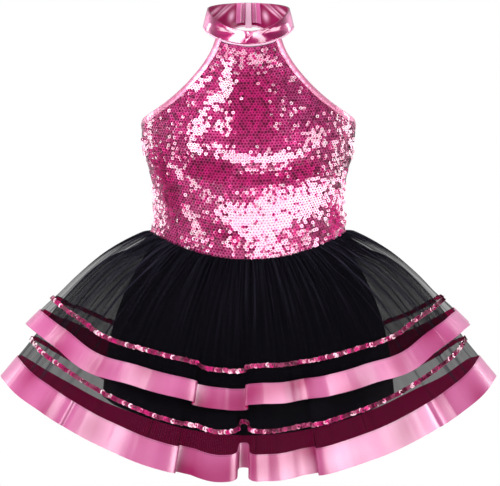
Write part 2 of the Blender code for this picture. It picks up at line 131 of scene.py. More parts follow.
# What a Mix node is set to where it mixes colours.
RGBA = {"data_type": "RGBA"}
FLOOR_HEIGHT = -0.62
FLOOR_SIZE = 7.0
bpy.ops.mesh.primitive_plane_add(size=FLOOR_SIZE, location=(0.0, 0.0, FLOOR_HEIGHT))
floor = bpy.context.object
floor.name = "floor"
white = linear("#ffffff")
pale, tree, shader = new_material(
    "pale_floor", {"Roughness": 0.9, "Specular IOR Level": 0.0, "Emission Color": white}
)
# The camera sees it as white as the wall, and the dress is lit by its real pale grey.
seen = add_node(tree, "LightPath", "Is Camera Ray", {}, {})
greys = add_node(tree, "Mix", "Result", RGBA, {
    "Factor": seen, "A": linear("#c8c8c8"), "B": linear("#000000"),
})
set_inputs(shader, {"Emission Strength": seen, "Base Color": greys})
floor.data.materials.append(pale)

# Each soft box faces the middle of the bodice, and stands in the direction of azimuth
# and rise from it. radiance is how bright its cloth is.
SoftBox = namedtuple("SoftBox", "name azimuth rise distance width height radiance")
BODICE_MIDDLE = np.array([0.0, 0.0, -0.15])
for box in rows_of(SoftBox, [
    ("key_box", -28.0, 38.0, 1.9, 0.75, 0.75, 17.0),
    ("fill_box", 28.0, 38.0, 1.9, 0.40, 0.50, 12.0),
    ("top_box", 0.0, 70.0, 1.9, 1.0, 0.5, 8.0),
    ("left_side_box", -112.0, 5.0, 1.6, 0.35, 0.9, 9.0),
    ("right_side_box", 112.0, 5.0, 1.6, 0.35, 0.9, 9.0),
    ("left_box", -50.0, 6.0, 1.8, 0.50, 0.60, 11.0),
    ("right_box", 55.0, 6.0, 1.8, 0.50, 0.60, 11.0),
    ("low_box", 24.0, -13.0, 1.2, 0.80, 0.40, 14.0),
]):
    light = bpy.data.lights.new(box.name, "AREA")
    light.shape = "RECTANGLE"
    light.size = box.width
    light.size_y = box.height
    light.energy = box.radiance * math.pi * box.width * box.height
    made = add_object(box.name, light)
    place = BODICE_MIDDLE + box.distance * direction(box.azimuth, box.rise)
    made.location = place
    towards = BODICE_MIDDLE - place
    made.rotation_euler = (
        math.atan2(math.hypot(towards[0], towards[1]), -towards[2]),
        0.0,
        math.atan2(towards[1], towards[0]) - math.pi / 2,
    )
    made.visible_camera = False
# The low box stands in for a white card: foil mirrors it, and it lights nothing else.
made.visible_diffuse = False

world = bpy.data.worlds.new("studio")
bpy.context.scene.world = world
world.use_nodes = True
air = world.node_tree
around = add_node(air, "TexCoord", "Generated", {}, {})
behind = add_node(air, "SeparateXYZ", "Y", {}, {"Vector": around})
wall = add_node(air, "MapRange", "Result", {"interpolation_type": "SMOOTHSTEP"}, {
    "Value": behind, "From Min": -0.35, "From Max": 0.45,
    "To Min": 0.10, "To Max": 0.65,
})
seen = add_node(air, "LightPath", "Is Camera Ray", {}, {})
strength = add_node(air, "Math", "Value", {"operation": "MAXIMUM"}, {0: wall, 1: seen})
set_inputs(air.nodes["Background"], {"Color": white, "Strength": strength})
bpy.context.scene.view_settings.view_transform = "Standard"
# Light passes up to four tiers of net, doubled at their folds.
bpy.context.scene.cycles.transparent_max_bounces = 24


# Lining
# An opaque black skirt of woven polyester, flared from the waist seam and hemmed with
# one row of stitches. It hangs inside both tiers and hides what is behind it.
SkirtRow = namedtuple("SkirtRow", "half_width half_depth side_z middle_z ruffle")
Fold = namedtuple(
    "Fold", "angle half_angle front_side overlap step drop_before drop_after"
)
Wave = namedtuple("Wave", "angle half_angle out drop")
FOLD_FADE = 2.2
LINING_ROWS = rows_of(SkirtRow, [
    (0.1012, 0.0712, -0.2300, -0.2575, 0.0),
    (0.1060, 0.0750, -0.2450, -0.2740, 0.05),
    (0.1250, 0.0850, -0.2790, -0.3140, 0.30),
    (0.1430, 0.0940, -0.3190, -0.3560, 0.60),
    (0.1545, 0.1005, -0.3620, -0.4000, 0.80),
    (0.1610, 0.1050, -0.4150, -0.4500, 1.0),
])
LINING_WAVE_ANGLES = (-62, -34, -6, 22, 50, 78, 108, 137, 166, 196, 224, 252)
LINING_WAVES = [
    Wave(angle, 14.0, 0.0030 * (-1) ** place, 0.0)
    for place, angle in enumerate(LINING_WAVE_ANGLES)
]
LINING_DOWN, LINING_ROUND = 34, 420
LINING_THICK = 0.0006
# Puckers of the waist seam: how many all round, and each one's share of the height.
# They rise within SEAM_RISE of the way down, and settle over SETTLE of it.
PUCKERS = ((53, 0.4), (71, 0.3), (97, 0.3))
PUCKER_HEIGHT = 0.0009
SEAM_RISE = 0.05
LINING_SETTLE = 0.35


def passed_along(line):
    """The distance passed at each point of a line."""
    steps = np.linalg.norm(np.diff(line, axis=0), axis=1)
    return np.concatenate([[0.0], np.cumsum(steps)])


def spine(rows, across, height):
    """The distance passed at each row of a table, down its edge."""
    return passed_along(
        np.array([(getattr(row, across), getattr(row, height)) for row in rows])
    )


def read_rows(rows, passed, at):
    """A table's columns at distances between its rows, each on one smooth curve."""
    values = np.array(rows)
    slopes = np.gradient(values, passed, axis=0)
    row = np.clip(np.searchsorted(passed, at, side="right") - 1, 0, len(rows) - 2)
    length = (passed[row + 1] - passed[row])[..., None]
    part = (np.asarray(at) - passed[row])[..., None] / length
    rest = 1.0 - part
    found = (
        (1.0 + 2.0 * part) * rest**2 * values[row]
        + part * rest**2 * length * slopes[row]
        + (3.0 - 2.0 * part) * part**2 * values[row + 1]
        - part**2 * rest * length * slopes[row + 1]
    )
    return np.moveaxis(found, -1, 0)


def turn_from(angles, middle):
    """Degrees from a middle angle, the short way round."""
    return (angles - middle + 180.0) % 360.0 - 180.0


def ruffle(angles, folds, waves):
    """How far a hem is pushed out, slid along and dropped at each angle."""
    push, slide, drop = np.zeros((3, len(angles)))
    for fold in folds:
        across = turn_from(angles, fold.angle) / fold.half_angle
        inside = np.abs(across) < 1.0
        side = np.where(inside, np.sin(across * math.pi / 2), np.sign(across))
        fade = np.exp(-np.maximum(np.abs(across) - 1.0, 0.0) / FOLD_FADE)
        push += fold.front_side * fold.step / 2 * side * fade
        slide -= np.where(inside, fold.overlap * np.sin(across * math.pi), 0.0)
        drop += fade * (
            fold.drop_before * (1 - side) / 2 + fold.drop_after * (1 + side) / 2
        )
    for wave in waves:
        across = turn_from(angles, wave.angle) / wave.half_angle
        swell = np.cos(np.clip(across, -1.0, 1.0) * math.pi / 2) ** 2
        push += wave.out * swell
        drop += wave.drop * swell
    return push, slide, drop


def unit(vectors):
    """The same directions, each with length 1."""
    return vectors / np.linalg.norm(vectors, axis=-1, keepdims=True)


def facing(points, closed):
    """The way that each point of a grid faces. Its rows run down, its columns round."""
    down = np.gradient(points, axis=0)
    if closed:
        along = np.roll(points, -1, axis=1) - np.roll(points, 1, axis=1)
    else:
        along = np.gradient(points, axis=1)
    return unit(np.cross(down, along))


FINE_STEPS = 7201
CLOSER_AT_FOLDS = 2.0


def even_angles(rows, folds, count):
    """Angles all round, evenly apart along the hem but closer at its folds."""
    fine = np.linspace(-90.0, 270.0, FINE_STEPS)
    turned = np.radians(fine)
    hem = rows[-1]
    density = np.hypot(hem.half_width * np.cos(turned), hem.half_depth * np.sin(turned))
    density /= density.mean()
    for fold in folds:
        near = np.exp(-((turn_from(fine, fold.angle) / fold.half_angle) ** 2))
        density += CLOSER_AT_FOLDS * near
    passed = np.concatenate([[0.0], np.cumsum(density[1:] + density[:-1])])
    return np.interp(np.linspace(0.0, passed[-1], count + 1), passed, fine)[:-1]


def skirt_surface(rows, at, angles, folds, waves, relief):
    """A skirt layer's points. relief is how far its creases stand out, at each one."""
    passed = spine(rows, "half_width", "side_z")
    half_width, half_depth, side_z, middle_z, share = (
        column[:, None] for column in read_rows(rows, passed, at)
    )
    turned = np.radians(angles)
    across, ahead = np.sin(turned), np.cos(turned)
    height = side_z + (middle_z - side_z) * ahead**2
    base = np.stack([half_width * across, -half_depth * ahead, height], axis=-1)
    out = facing(base, closed=True)
    along = unit(np.roll(base, -1, axis=1) - np.roll(base, 1, axis=1))
    push, slide, drop = ruffle(angles, folds, waves)
    points = base + out * (push * share + relief)[..., None]
    points += along * (slide * share**2)[..., None]
    points[..., 2] -= drop * share
    return points


def face_corners(grid):
    """The four corners of each face of a grid, in the order that faces it outwards."""
    corners = [grid[:-1, :-1], grid[1:, :-1], grid[1:, 1:], grid[:-1, 1:]]
    return np.stack(corners, axis=2)


CUT_EDGE = math.radians(50)


def cloth(name, points, closed, material, thickness=0.0, wrong_side=None, ends=False):
    """A smooth sheet on a grid of points, with a UV map in metres: U along the
    columns, V up the rows. A thickness is given to its inner side, which may have its
    own material and comes second in the mesh, and its cut edges are crisp. A folded
    sheet's two open ends are closed where ends is true."""
    rows, columns = points.shape[:2]
    number = np.arange(rows * columns).reshape(rows, columns)
    if closed:
        number = np.concatenate([number, number[:, :1]], axis=1)
    run = passed_along(points[rows // 2, number[0]])
    fall = np.linalg.norm(np.diff(points, axis=0), axis=-1).mean(axis=1)
    fall = np.concatenate([[0.0], -np.cumsum(fall)])
    flat = np.stack(np.broadcast_arrays(run[None, :], fall[:, None]), axis=-1)
    faces = face_corners(number).reshape(-1, 4).tolist()
    spots = face_corners(flat).reshape(-1, 2)
    if ends:
        faces += [number[::-1, 0].tolist(), number[:, -1].tolist()]
        spots = np.concatenate([spots, np.zeros((2 * rows, 2))])
    mesh = bpy.data.meshes.new(name)
    mesh.from_pydata(points.reshape(-1, 3).tolist(), [], faces)
    layer = mesh.uv_layers.new(name="cut")
    layer.uv.foreach_set("vector", spots.astype(np.float32).ravel())
    mesh.materials.append(material)
    mesh.shade_smooth()
    made = add_object(name, mesh)
    if thickness:
        solid = made.modifiers.new("thickness", "SOLIDIFY")
        solid.thickness = thickness
        solid.offset = -1.0
        solid.use_even_offset = False
        if wrong_side:
            mesh.materials.append(wrong_side)
            solid.material_offset = 1
        bpy.context.view_layer.objects.active = made
        made.select_set(True)
        bpy.ops.object.modifier_apply(modifier=solid.name)
        made.select_set(False)
        made.data.set_sharp_from_angle(angle=CUT_EDGE)
    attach(made, "root")
    return made


# Black polyester taffeta: nearly no light comes back, but a dull sheen on its folds.
lining_black, tree, shader = new_material(
    "black_polyester_lining",
    {"Base Color": linear("#050409"), "Roughness": 0.62, "Specular IOR Level": 0.05},
)
cut = add_node(tree, "TexCoord", "UV", {}, {})
threads = add_node(tree, "TexBrick", "Color", {"offset": 0.5}, {
    "Vector": cut, "Scale": 1.0,
    "Brick Width": 0.0012, "Row Height": 0.0006, "Mortar Size": 0.0001,
    "Color1": (0.9, 0.9, 0.9, 1.0),
    "Color2": (0.6, 0.6, 0.6, 1.0),
    "Mortar": (0.0, 0.0, 0.0, 1.0),
})
weave = add_node(tree, "Bump", "Normal", {}, {
    "Strength": 0.25, "Distance": 0.0002, "Height": threads,
})
set_inputs(shader, {"Normal": weave})

lining_passed = spine(LINING_ROWS, "half_width", "side_z")
lining_at = np.linspace(0.0, lining_passed[-1], LINING_DOWN)
lining_angles = even_angles(LINING_ROWS, (), LINING_ROUND)
down = (lining_at / lining_at[-1])[:, None]
rng = np.random.default_rng(5)
puckers = sum(
    np.sin(np.radians(lining_angles) * count + turn) * size
    for (count, size), turn in zip(PUCKERS, rng.uniform(0, 6, 3))
)
lining_relief = PUCKER_HEIGHT * puckers * np.exp(-down / LINING_SETTLE)
lining_relief *= np.minimum(down / SEAM_RISE, 1.0)
lining_points = skirt_surface(
    LINING_ROWS, lining_at, lining_angles, (), LINING_WAVES, lining_relief
)
lining = cloth("lining_skirt", lining_points, True, lining_black, LINING_THICK)
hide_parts("lining_front", "lining_back")


# Net tiers
# Two gathered tiers of fine black net, the long one under the short one. The net is
# bunched into the waist seam, and its creases fade on the way down to the hem.
LOWER_ROWS = rows_of(SkirtRow, [
    (0.1037, 0.0737, -0.2326, -0.2601, 0.0),
    (0.1120, 0.0790, -0.2435, -0.2715, 0.04),
    (0.1580, 0.0955, -0.2662, -0.3200, 0.22),
    (0.2030, 0.1130, -0.3080, -0.3850, 0.50),
    (0.2367, 0.1245, -0.3508, -0.4425, 0.75),
    (0.2398, 0.1252, -0.3547, -0.4475, 0.78),
    (0.2535, 0.1280, -0.3715, -0.4695, 0.88),
    (0.2720, 0.1300, -0.3938, -0.4985, 1.0),
])
LOWER_FOLDS = rows_of(Fold, [
    (-48.0, 5.0, -1, 0.0060, 0.0090, 0.0, 0.0),
    (-17.3, 4.0, -1, 0.0095, 0.0130, -0.0005, -0.0030),
    (-2.7, 1.9, -1, 0.0030, 0.0070, 0.0020, -0.0075),
    (0.3, 1.9, 1, 0.0040, 0.0090, -0.0060, 0.0040),
    (16.6, 4.0, 1, 0.0095, 0.0130, -0.0025, 0.0015),
    (50.0, 5.0, 1, 0.0060, 0.0090, 0.0, 0.0),
    (150.0, 4.3, -1, 0.0090, 0.0120, 0.0020, -0.0040),
    (178.0, 4.3, 1, 0.0090, 0.0120, -0.0020, 0.0020),
    (205.0, 4.3, 1, 0.0090, 0.0120, -0.0040, 0.0020),
])
LOWER_WAVES = rows_of(Wave, [
    (-66.0, 12.0, 0.0050, 0.0020),
    (-33.0, 9.0, 0.0040, -0.0010),
    (-8.0, 8.0, 0.0, 0.0035),
    (-1.2, 3.0, -0.0040, -0.0020),
    (8.0, 5.0, 0.0030, 0.0010),
    (34.0, 9.0, 0.0040, 0.0005),
    (52.0, 34.0, 0.0, 0.0050),
    (67.0, 12.0, 0.0050, 0.0020),
    (104.0, 11.0, -0.0060, -0.0020),
    (122.0, 11.0, 0.0060, 0.0030),
    (137.0, 9.0, -0.0060, -0.0010),
    (165.0, 8.0, 0.0050, 0.0020),
    (191.0, 8.0, -0.0060, -0.0010),
    (222.0, 11.0, 0.0060, 0.0030),
    (241.0, 11.0, -0.0060, -0.0010),
    (257.0, 10.0, 0.0050, 0.0010),
])
UPPER_ROWS = rows_of(SkirtRow, [
    (0.1057, 0.0757, -0.2331, -0.2606, 0.0),
    (0.1195, 0.0855, -0.2378, -0.2680, 0.05),
    (0.1530, 0.1030, -0.2545, -0.2980, 0.20),
    (0.1890, 0.1190, -0.2830, -0.3390, 0.48),
    (0.2135, 0.1280, -0.3062, -0.3730, 0.72),
    (0.2173, 0.1290, -0.3094, -0.3780, 0.75),
    (0.2289, 0.1315, -0.3200, -0.3940, 0.87),
    (0.2450, 0.1340, -0.3355, -0.4165, 1.0),
])
UPPER_FOLDS = rows_of(Fold, [
    (-14.2, 4.3, -1, 0.0090, 0.0120, -0.0020, 0.0020),
    (-0.4, 4.3, 1, 0.0090, 0.0120, 0.0030, -0.0030),
    (61.0, 6.0, 1, 0.0040, 0.0070, 0.0, 0.0),
    (158.0, 4.5, 1, 0.0090, 0.0120, 0.0020, -0.0020),
    (186.0, 4.5, -1, 0.0090, 0.0120, -0.0020, 0.0030),
    (244.0, 6.0, -1, 0.0060, 0.0090, 0.0, 0.0),
])
UPPER_WAVES = rows_of(Wave, [
    (-45.0, 15.0, 0.0060, 0.0070),
    (-70.0, 12.0, -0.0050, -0.0010),
    (14.7, 6.5, -0.0085, -0.0020),
    (30.0, 9.0, 0.0030, 0.0010),
    (45.0, 14.0, 0.0060, 0.0070),
    (76.0, 10.0, -0.0050, -0.0010),
    (88.0, 14.0, -0.0035, 0.0),
    (106.0, 12.0, 0.0060, 0.0020),
    (124.0, 12.0, -0.0060, -0.0010),
    (142.0, 10.0, 0.0050, 0.0030),
    (172.0, 7.0, -0.0060, -0.0020),
    (206.0, 10.0, 0.0050, 0.0030),
    (224.0, 10.0, -0.0070, -0.0010),
    (256.0, 11.0, 0.0050, 0.0020),
])
NET_DOWN, NET_ROUND = 54, 1080
CREASES = 150
CREASE_HEIGHT = 0.0016
GATHER_WAVES = (97, 131, 163, 211)
GATHER_HEIGHT = 0.0030
GATHER_SETTLE = 0.25
# Layers of net that are added at the waist, in a gather, in a crease and in a sweep.
WAIST_NET, GATHER_NET, CREASE_NET, SWEEP_NET = 0.45, 1.4, 1.2, 2.8
MOST_NET = 5.0
# Long sharp creases at both sides: angle at the waist, lean, width, and how far down.
SWEEPS = (
    (44.0, 10.0, 0.35, 0.9),
    (50.0, 7.0, 0.30, 0.7),
    (55.0, 8.0, 0.45, 1.0),
    (60.0, 3.0, 0.30, 1.2),
    (64.0, 5.0, 0.35, 0.8),
    (69.0, -1.0, 0.45, 1.1),
    (73.0, 3.0, 0.35, 1.2),
    (79.0, -3.0, 0.45, 0.8),
    (84.0, 0.0, 0.40, 1.3),
)
# Ripples that the hem's stitching leaves: how many all round, height and place. They
# start at a share of the way down, and are full after another share.
RIPPLES = ((13, 0.0018, 0.9), (23, 0.0007, 2.1))
RIPPLE_START, RIPPLE_RISE = 0.55, 0.3


class NetTier:
    """One tier: its folds, and the creases that its gathering leaves. slack is how many
    layers thick its net lies between them."""

    def __init__(self, rows, folds, waves, slack, seed):
        self.rows, self.folds, self.waves, self.slack = rows, folds, waves, slack
        self.passed = spine(rows, "half_width", "side_z")
        self.angles = even_angles(rows, folds, NET_ROUND)
        random = np.random.default_rng(seed)
        even = np.arange(CREASES) * 360.0 / CREASES
        self.creases = list(
            zip(
                even + random.uniform(-1.3, 1.3, CREASES),
                random.normal(0.0, 2.4, CREASES),
                random.uniform(0.30, 0.80, CREASES),
                random.uniform(0.30, 1.15, CREASES),
                random.uniform(0.15, 1.0, CREASES) ** 2,
            )
        )
        self.gather_turns = random.uniform(0.0, 2 * math.pi, len(GATHER_WAVES))

    def creased(self, at):
        """How far the creases stand out, and how densely they bunch the net."""
        down = (at / self.passed[-1])[:, None]
        start = np.minimum(down / SEAM_RISE, 1.0)
        gathers = sum(
            np.sin(np.radians(self.angles) * count + turn) / len(GATHER_WAVES)
            for count, turn in zip(GATHER_WAVES, self.gather_turns)
        )
        settle = np.exp(-down / GATHER_SETTLE)
        relief = GATHER_HEIGHT * gathers * settle * start
        bunched = self.slack + (WAIST_NET + GATHER_NET * gathers) * settle
        for angle, lean, width, reach, height in self.creases:
            across = turn_from(self.angles - lean * down, angle) / width
            fade = np.clip(1.3 * (1.0 - down / reach), 0.0, 1.0)
            ridge = height * np.exp(-(across**2)) * fade
            relief = relief + CREASE_HEIGHT * ridge * start
            bunched = bunched + CREASE_NET * ridge
        turned = np.radians(np.abs(turn_from(self.angles, 0.0)))
        ripples = sum(
            np.cos(turned * count + place) * height for count, height, place in RIPPLES
        )
        risen = np.clip((down - RIPPLE_START) / RIPPLE_RISE, 0.0, 1.0)
        relief = relief + ripples * risen
        for middle, lean, width, reach in SWEEPS:
            for side in (-1.0, 1.0):
                straight = self.angles - side * lean * down
                across = turn_from(straight, side * middle) / width
                fade = np.clip(2.5 * (1.0 - down / reach), 0.0, 1.0)
                bunched = bunched + SWEEP_NET * np.exp(-(across**2)) * fade
        return relief, np.clip(bunched, 0.0, MOST_NET)

    def surface(self, at):
        """The tier's points at distances down from the waist."""
        relief, _ = self.creased(at)
        return skirt_surface(self.rows, at, self.angles, self.folds, self.waves, relief)


def set_points(made, name, values):
    """Gives each point of a mesh a number that its material reads."""
    attribute = made.data.attributes.new(name, "FLOAT", "POINT")
    attribute.data.foreach_set("value", np.ravel(values))


lower = NetTier(LOWER_ROWS, LOWER_FOLDS, LOWER_WAVES, 1.35, 11)
upper = NetTier(UPPER_ROWS, UPPER_FOLDS, UPPER_WAVES, 0.75, 23)

# Soft nylon net. One layer lets about half of the light through. Its real mesh is
# under 1 mm and too fine to show, so it is drawn as faint 1.6 mm cells. Where the net
# is bunched it lies two or three times on itself, and lets less through.
NET_CELL = 0.0016
ONE_LAYER_PASSES = 0.58
net_black, tree, shader = new_material(
    "black_nylon_net", {"Roughness": 0.6, "Specular IOR Level": 0.01}
)
cut = add_node(tree, "TexCoord", "UV", {}, {})
cells = add_node(
    tree, "TexVoronoi", "Distance",
    {"feature": "DISTANCE_TO_EDGE", "voronoi_dimensions": "2D"},
    {"Vector": cut, "Scale": 1 / NET_CELL, "Randomness": 0.25},
)
mesh_threads = add_node(tree, "MapRange", "Result", {}, {
    "Value": cells, "From Min": 0.0, "From Max": 0.35, "To Min": 0.16, "To Max": -0.08,
})
bunching = add_node(tree, "Attribute", "Fac", {"attribute_name": "bunched"}, {})
stretched = add_node(tree, "Mapping", "Vector", {}, {
    "Vector": cut, "Scale": (320.0, 9.0, 1.0),
})
fine = add_node(tree, "TexNoise", "Fac", {"noise_dimensions": "2D"}, {
    "Vector": stretched, "Scale": 1.0, "Detail": 3.0,
})
fine_creases = add_node(tree, "MapRange", "Result", {}, {
    "Value": fine, "From Min": 0.50, "From Max": 0.80, "To Max": 1.5,
})
# V is 0 at the waist and falls to the hem, where the fine creases have smoothed out.
height = add_node(tree, "SeparateXYZ", "Y", {}, {"Vector": cut})
near_waist = add_node(
    tree, "MapRange", "Result", {"interpolation_type": "SMOOTHSTEP"},
    {"Value": height, "From Min": -0.17, "From Max": -0.03, "To Min": 0.12},
)
layers = add_node(tree, "Math", "Value", {"operation": "MULTIPLY_ADD"}, {
    0: fine_creases, 1: near_waist, 2: bunching,
})
# Painted sheen: where the net is bunched its colour is painted lighter, for the light
# that more of its threads catch there.
painted_sheen = add_node(tree, "MapRange", "Result", {}, {
    "Value": layers, "From Min": 1.0, "From Max": 4.0,
})
blacks_and_painted_sheen = add_node(tree, "Mix", "Result", RGBA, {
    "Factor": painted_sheen, "A": linear("#07060a"), "B": linear("#221f2a"),
})
through = add_node(tree, "Math", "Value", {"operation": "POWER"}, {
    0: ONE_LAYER_PASSES, 1: layers,
})
closed_part = add_node(tree, "Math", "Value", {"operation": "SUBTRACT"}, {
    0: 1.0, 1: through,
})
cover = add_node(tree, "Math", "Value", {"operation": "ADD", "use_clamp": True}, {
    0: closed_part, 1: mesh_threads,
})
set_inputs(shader, {"Base Color": blacks_and_painted_sheen, "Alpha": cover})

for name, tier, nodes, flat in (
    ("lower", lower, ("tier_lower_front", "tier_lower_back"), (1.46, 0.237)),
    ("upper", upper, ("tier_upper_front", "tier_upper_back"), (1.34, 0.175)),
):
    at = np.linspace(0.0, tier.passed[-1], NET_DOWN)
    made = cloth(f"{name}_tulle", tier.surface(at), True, net_black)
    set_points(made, "bunched", tier.creased(at)[1])
    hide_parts(*nodes)


# Ribbons
# Pink satin ribbon sewn flat along each tier's edge, its lower edge on the hem, with
# one row of small stitches near its upper edge.
RIBBON_TOP, HEM = 6, 7
RIBBON_DOWN = 9
RIBBON_LIFT = 0.0011
RIBBON_THICK = 0.0005
# Puckers where the stitches hold it: how many all round, and each one's share.
RIBBON_PUCKERS = ((61, 0.4), (97, 0.3), (143, 0.3))
RIBBON_PUCKER_HEIGHT = 0.0001
# Painted shade: in the lee of each fold the satin's colour is painted a deep magenta
# and its coat is thinned, for the shade there. angle and half_angle are a place and its
# reach on both sides of the body, in degrees.
PaintedLee = namedtuple("PaintedLee", "angle half_angle depth")
LOWER_PAINTED_LEES = rows_of(PaintedLee, [
    (0.0, 15.0, 0.80),
    (15.5, 4.5, 1.0),
    (26.0, 4.0, 0.40),
    (40.0, 4.0, 0.55),
    (54.0, 3.0, 0.70),
    (66.0, 5.0, 0.80),
    (100.0, 12.0, 0.40),
    (128.0, 9.0, 0.50),
    (152.0, 7.0, 0.50),
    (176.0, 9.0, 0.50),
])
UPPER_PAINTED_LEES = rows_of(PaintedLee, [
    (0.0, 13.0, 0.90),
    (14.0, 4.0, 1.0),
    (27.0, 6.0, 0.70),
    (43.0, 4.0, 0.60),
    (59.0, 7.0, 1.0),
    (96.0, 10.0, 0.45),
    (124.0, 9.0, 0.50),
    (150.0, 7.0, 0.50),
    (174.0, 9.0, 0.50),
])


def hem_ribbon(name, tier, material, painted_lees):
    """A tier's own points between the ribbon's edges, moved out and softly puckered."""
    at = np.linspace(tier.passed[RIBBON_TOP], tier.passed[HEM], RIBBON_DOWN)
    points = tier.surface(at)
    out = facing(points, closed=True)
    down = np.linspace(0.0, 1.0, RIBBON_DOWN)[:, None]
    turned = np.radians(tier.angles)
    pucker = sum(
        np.sin(turned * count + count) * size for count, size in RIBBON_PUCKERS
    )
    pucker = pucker * (1.0 - 0.5 * down) * np.sin(down * 2.6 + 0.4)
    points = points + out * (RIBBON_LIFT + RIBBON_PUCKER_HEIGHT * pucker)[..., None]
    made = cloth(name, points, True, material, RIBBON_THICK, satin_back)
    # Painted shade: a number that darkens the satin's colour, and thins its coat, in
    # the lee of each fold.
    away = np.abs(turn_from(tier.angles, 0.0))
    shade = sum(
        painted_lee.depth * np.exp(-(((away - painted_lee.angle) / painted_lee.half_angle) ** 2))
        for painted_lee in painted_lees
    )
    shade = np.clip(shade * (0.75 + 0.25 * np.sin(down * 3.1 + turned * 9)), 0.0, 1.0)
    # Both faces of the thickened ribbon get it.
    set_points(made, "painted_shade", np.tile(shade.ravel(), 2))
    return made


# Polyester satin: floats of warp thread run along the ribbon, so its shine is smeared
# across it. Threads are 0.25 mm apart and are drawn 0.8 mm apart to show.
satin, tree, shader = new_material(
    "pink_satin",
    {
        "Roughness": 0.34,
        "Specular IOR Level": 0.35,
        "Anisotropic": 0.6,
        "Anisotropic Rotation": 0.25,
        "Coat Roughness": 0.33,
        "Coat IOR": 1.8,
        "Sheen Weight": 0.12,
        "Sheen Roughness": 0.4,
        "Sheen Tint": linear("#f6cfe2"),
    },
)
cut = add_node(tree, "TexCoord", "UV", {}, {})
stretched = add_node(tree, "Mapping", "Vector", {}, {
    "Vector": cut, "Scale": (30.0, 1250.0, 1.0),
})
floats = add_node(tree, "TexNoise", "Fac", {"noise_dimensions": "2D"}, {
    "Vector": stretched, "Scale": 1.0, "Detail": 2.0,
})
# Paler and deeper patches of pink at random: partly real tone, partly a painted
# highlight of the satin's shine.
blush_and_painted_sheen = add_node(tree, "TexNoise", "Fac", {"noise_dimensions": "2D"}, {
    "Vector": cut, "Scale": 15.0, "Detail": 2.0,
})
pinks = add_node(tree, "Mix", "Result", RGBA, {
    "Factor": blush_and_painted_sheen, "A": linear("#a83a78"), "B": linear("#c8689c"),
})
# Painted shade: where this number is high the pink is painted deep magenta and the coat
# is thinned.
painted_lee = add_node(tree, "Attribute", "Fac", {"attribute_name": "painted_shade"}, {})
polish = add_node(tree, "MapRange", "Result", {}, {
    "Value": painted_lee, "To Min": 0.85, "To Max": 0.05,
})
shaded = add_node(tree, "Mix", "Result", RGBA, {
    "Factor": painted_lee, "A": pinks, "B": linear("#88034a"),
})
# A row of stitches, 2.5 mm apart and 1.4 mm long, 1.3 mm under the upper edge.
STITCH_PITCH = 0.0025
along_hem = add_node(tree, "SeparateXYZ", "X", {}, {"Vector": cut})
under_edge = add_node(tree, "SeparateXYZ", "Y", {}, {"Vector": cut})
row = add_node(tree, "Math", "Value", {"operation": "COMPARE"}, {
    0: under_edge, 1: -0.0013, 2: 0.0004,
})
length = add_node(tree, "Math", "Value", {"operation": "PINGPONG"}, {
    0: along_hem, 1: STITCH_PITCH / 2,
})
thread = add_node(tree, "Math", "Value", {"operation": "LESS_THAN"}, {
    0: length, 1: 0.0007,
})
stitch = add_node(tree, "Math", "Value", {"operation": "MULTIPLY"}, {0: row, 1: thread})
sewn = add_node(tree, "Mix", "Result", RGBA, {
    "Factor": stitch, "A": shaded, "B": linear("#5c1038"),
})
ridges = add_node(tree, "Bump", "Normal", {}, {
    "Strength": 0.12, "Distance": 0.0003, "Height": floats,
})
grain = add_node(
    tree, "Tangent", "Tangent", {"direction_type": "UV_MAP", "uv_map": "cut"}, {}
)
set_inputs(shader, {
    "Coat Weight": polish, "Base Color": sewn, "Normal": ridges, "Tangent": grain,
})

# The wrong side of satin is dull. The light that comes through the ribbon from behind
# is drawn as a deep magenta glow of its own.
satin_back, tree, shader = new_material(
    "dull_satin_back",
    {
        "Base Color": linear("#dc1272"),
        "Roughness": 0.75,
        "Specular IOR Level": 0.2,
        "Emission Color": linear("#d4085e"),
        "Emission Strength": 0.5,
    },
)

for name, tier, painted_lees, flat in (
    ("lower", lower, LOWER_PAINTED_LEES, (0.029, 1.46)),
    ("upper", upper, UPPER_PAINTED_LEES, (0.0224, 1.34)),
):
    made = hem_ribbon(f"{name}_ribbon", tier, satin, painted_lees)
    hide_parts(f"ribbon_{name}")


# Braids
# Strings of small cup sequins, each lapped over the next like scales, sewn to a narrow
# tape and, with it, to the net a finger's width above each ribbon.
BRAID_TOP, BRAID_BOTTOM = 4, 5
BRAID_SEQUIN = 0.0027
BRAID_PITCH = 0.0021
BRAID_LIFT = 0.0016
BRAID_TILT = math.radians(10)
# The string is twisted on its way, so some lengths of it face up and glint.
TWIST_TURNS = (11, 19, 31)
TWIST_TILT, TWIST_BACK = 0.20, 0.08
# How unevenly the sequins lie: off their line, and tipped along and across it.
OFF_LINE, UNEVEN_ALONG, UNEVEN_ACROSS = 0.0003, 0.22, 0.26
SEQUIN_SIDES = 8
# A cup's rings, as shares of its radius: how far out, and how high.
CUP_RINGS = ((0.36, 0.0), (0.72, 0.0), (1.0, 0.008))
TAPE_HALF_WIDTH = 0.0021
TAPE_LIFT = 0.0007
TAPE_THICK = 0.0003


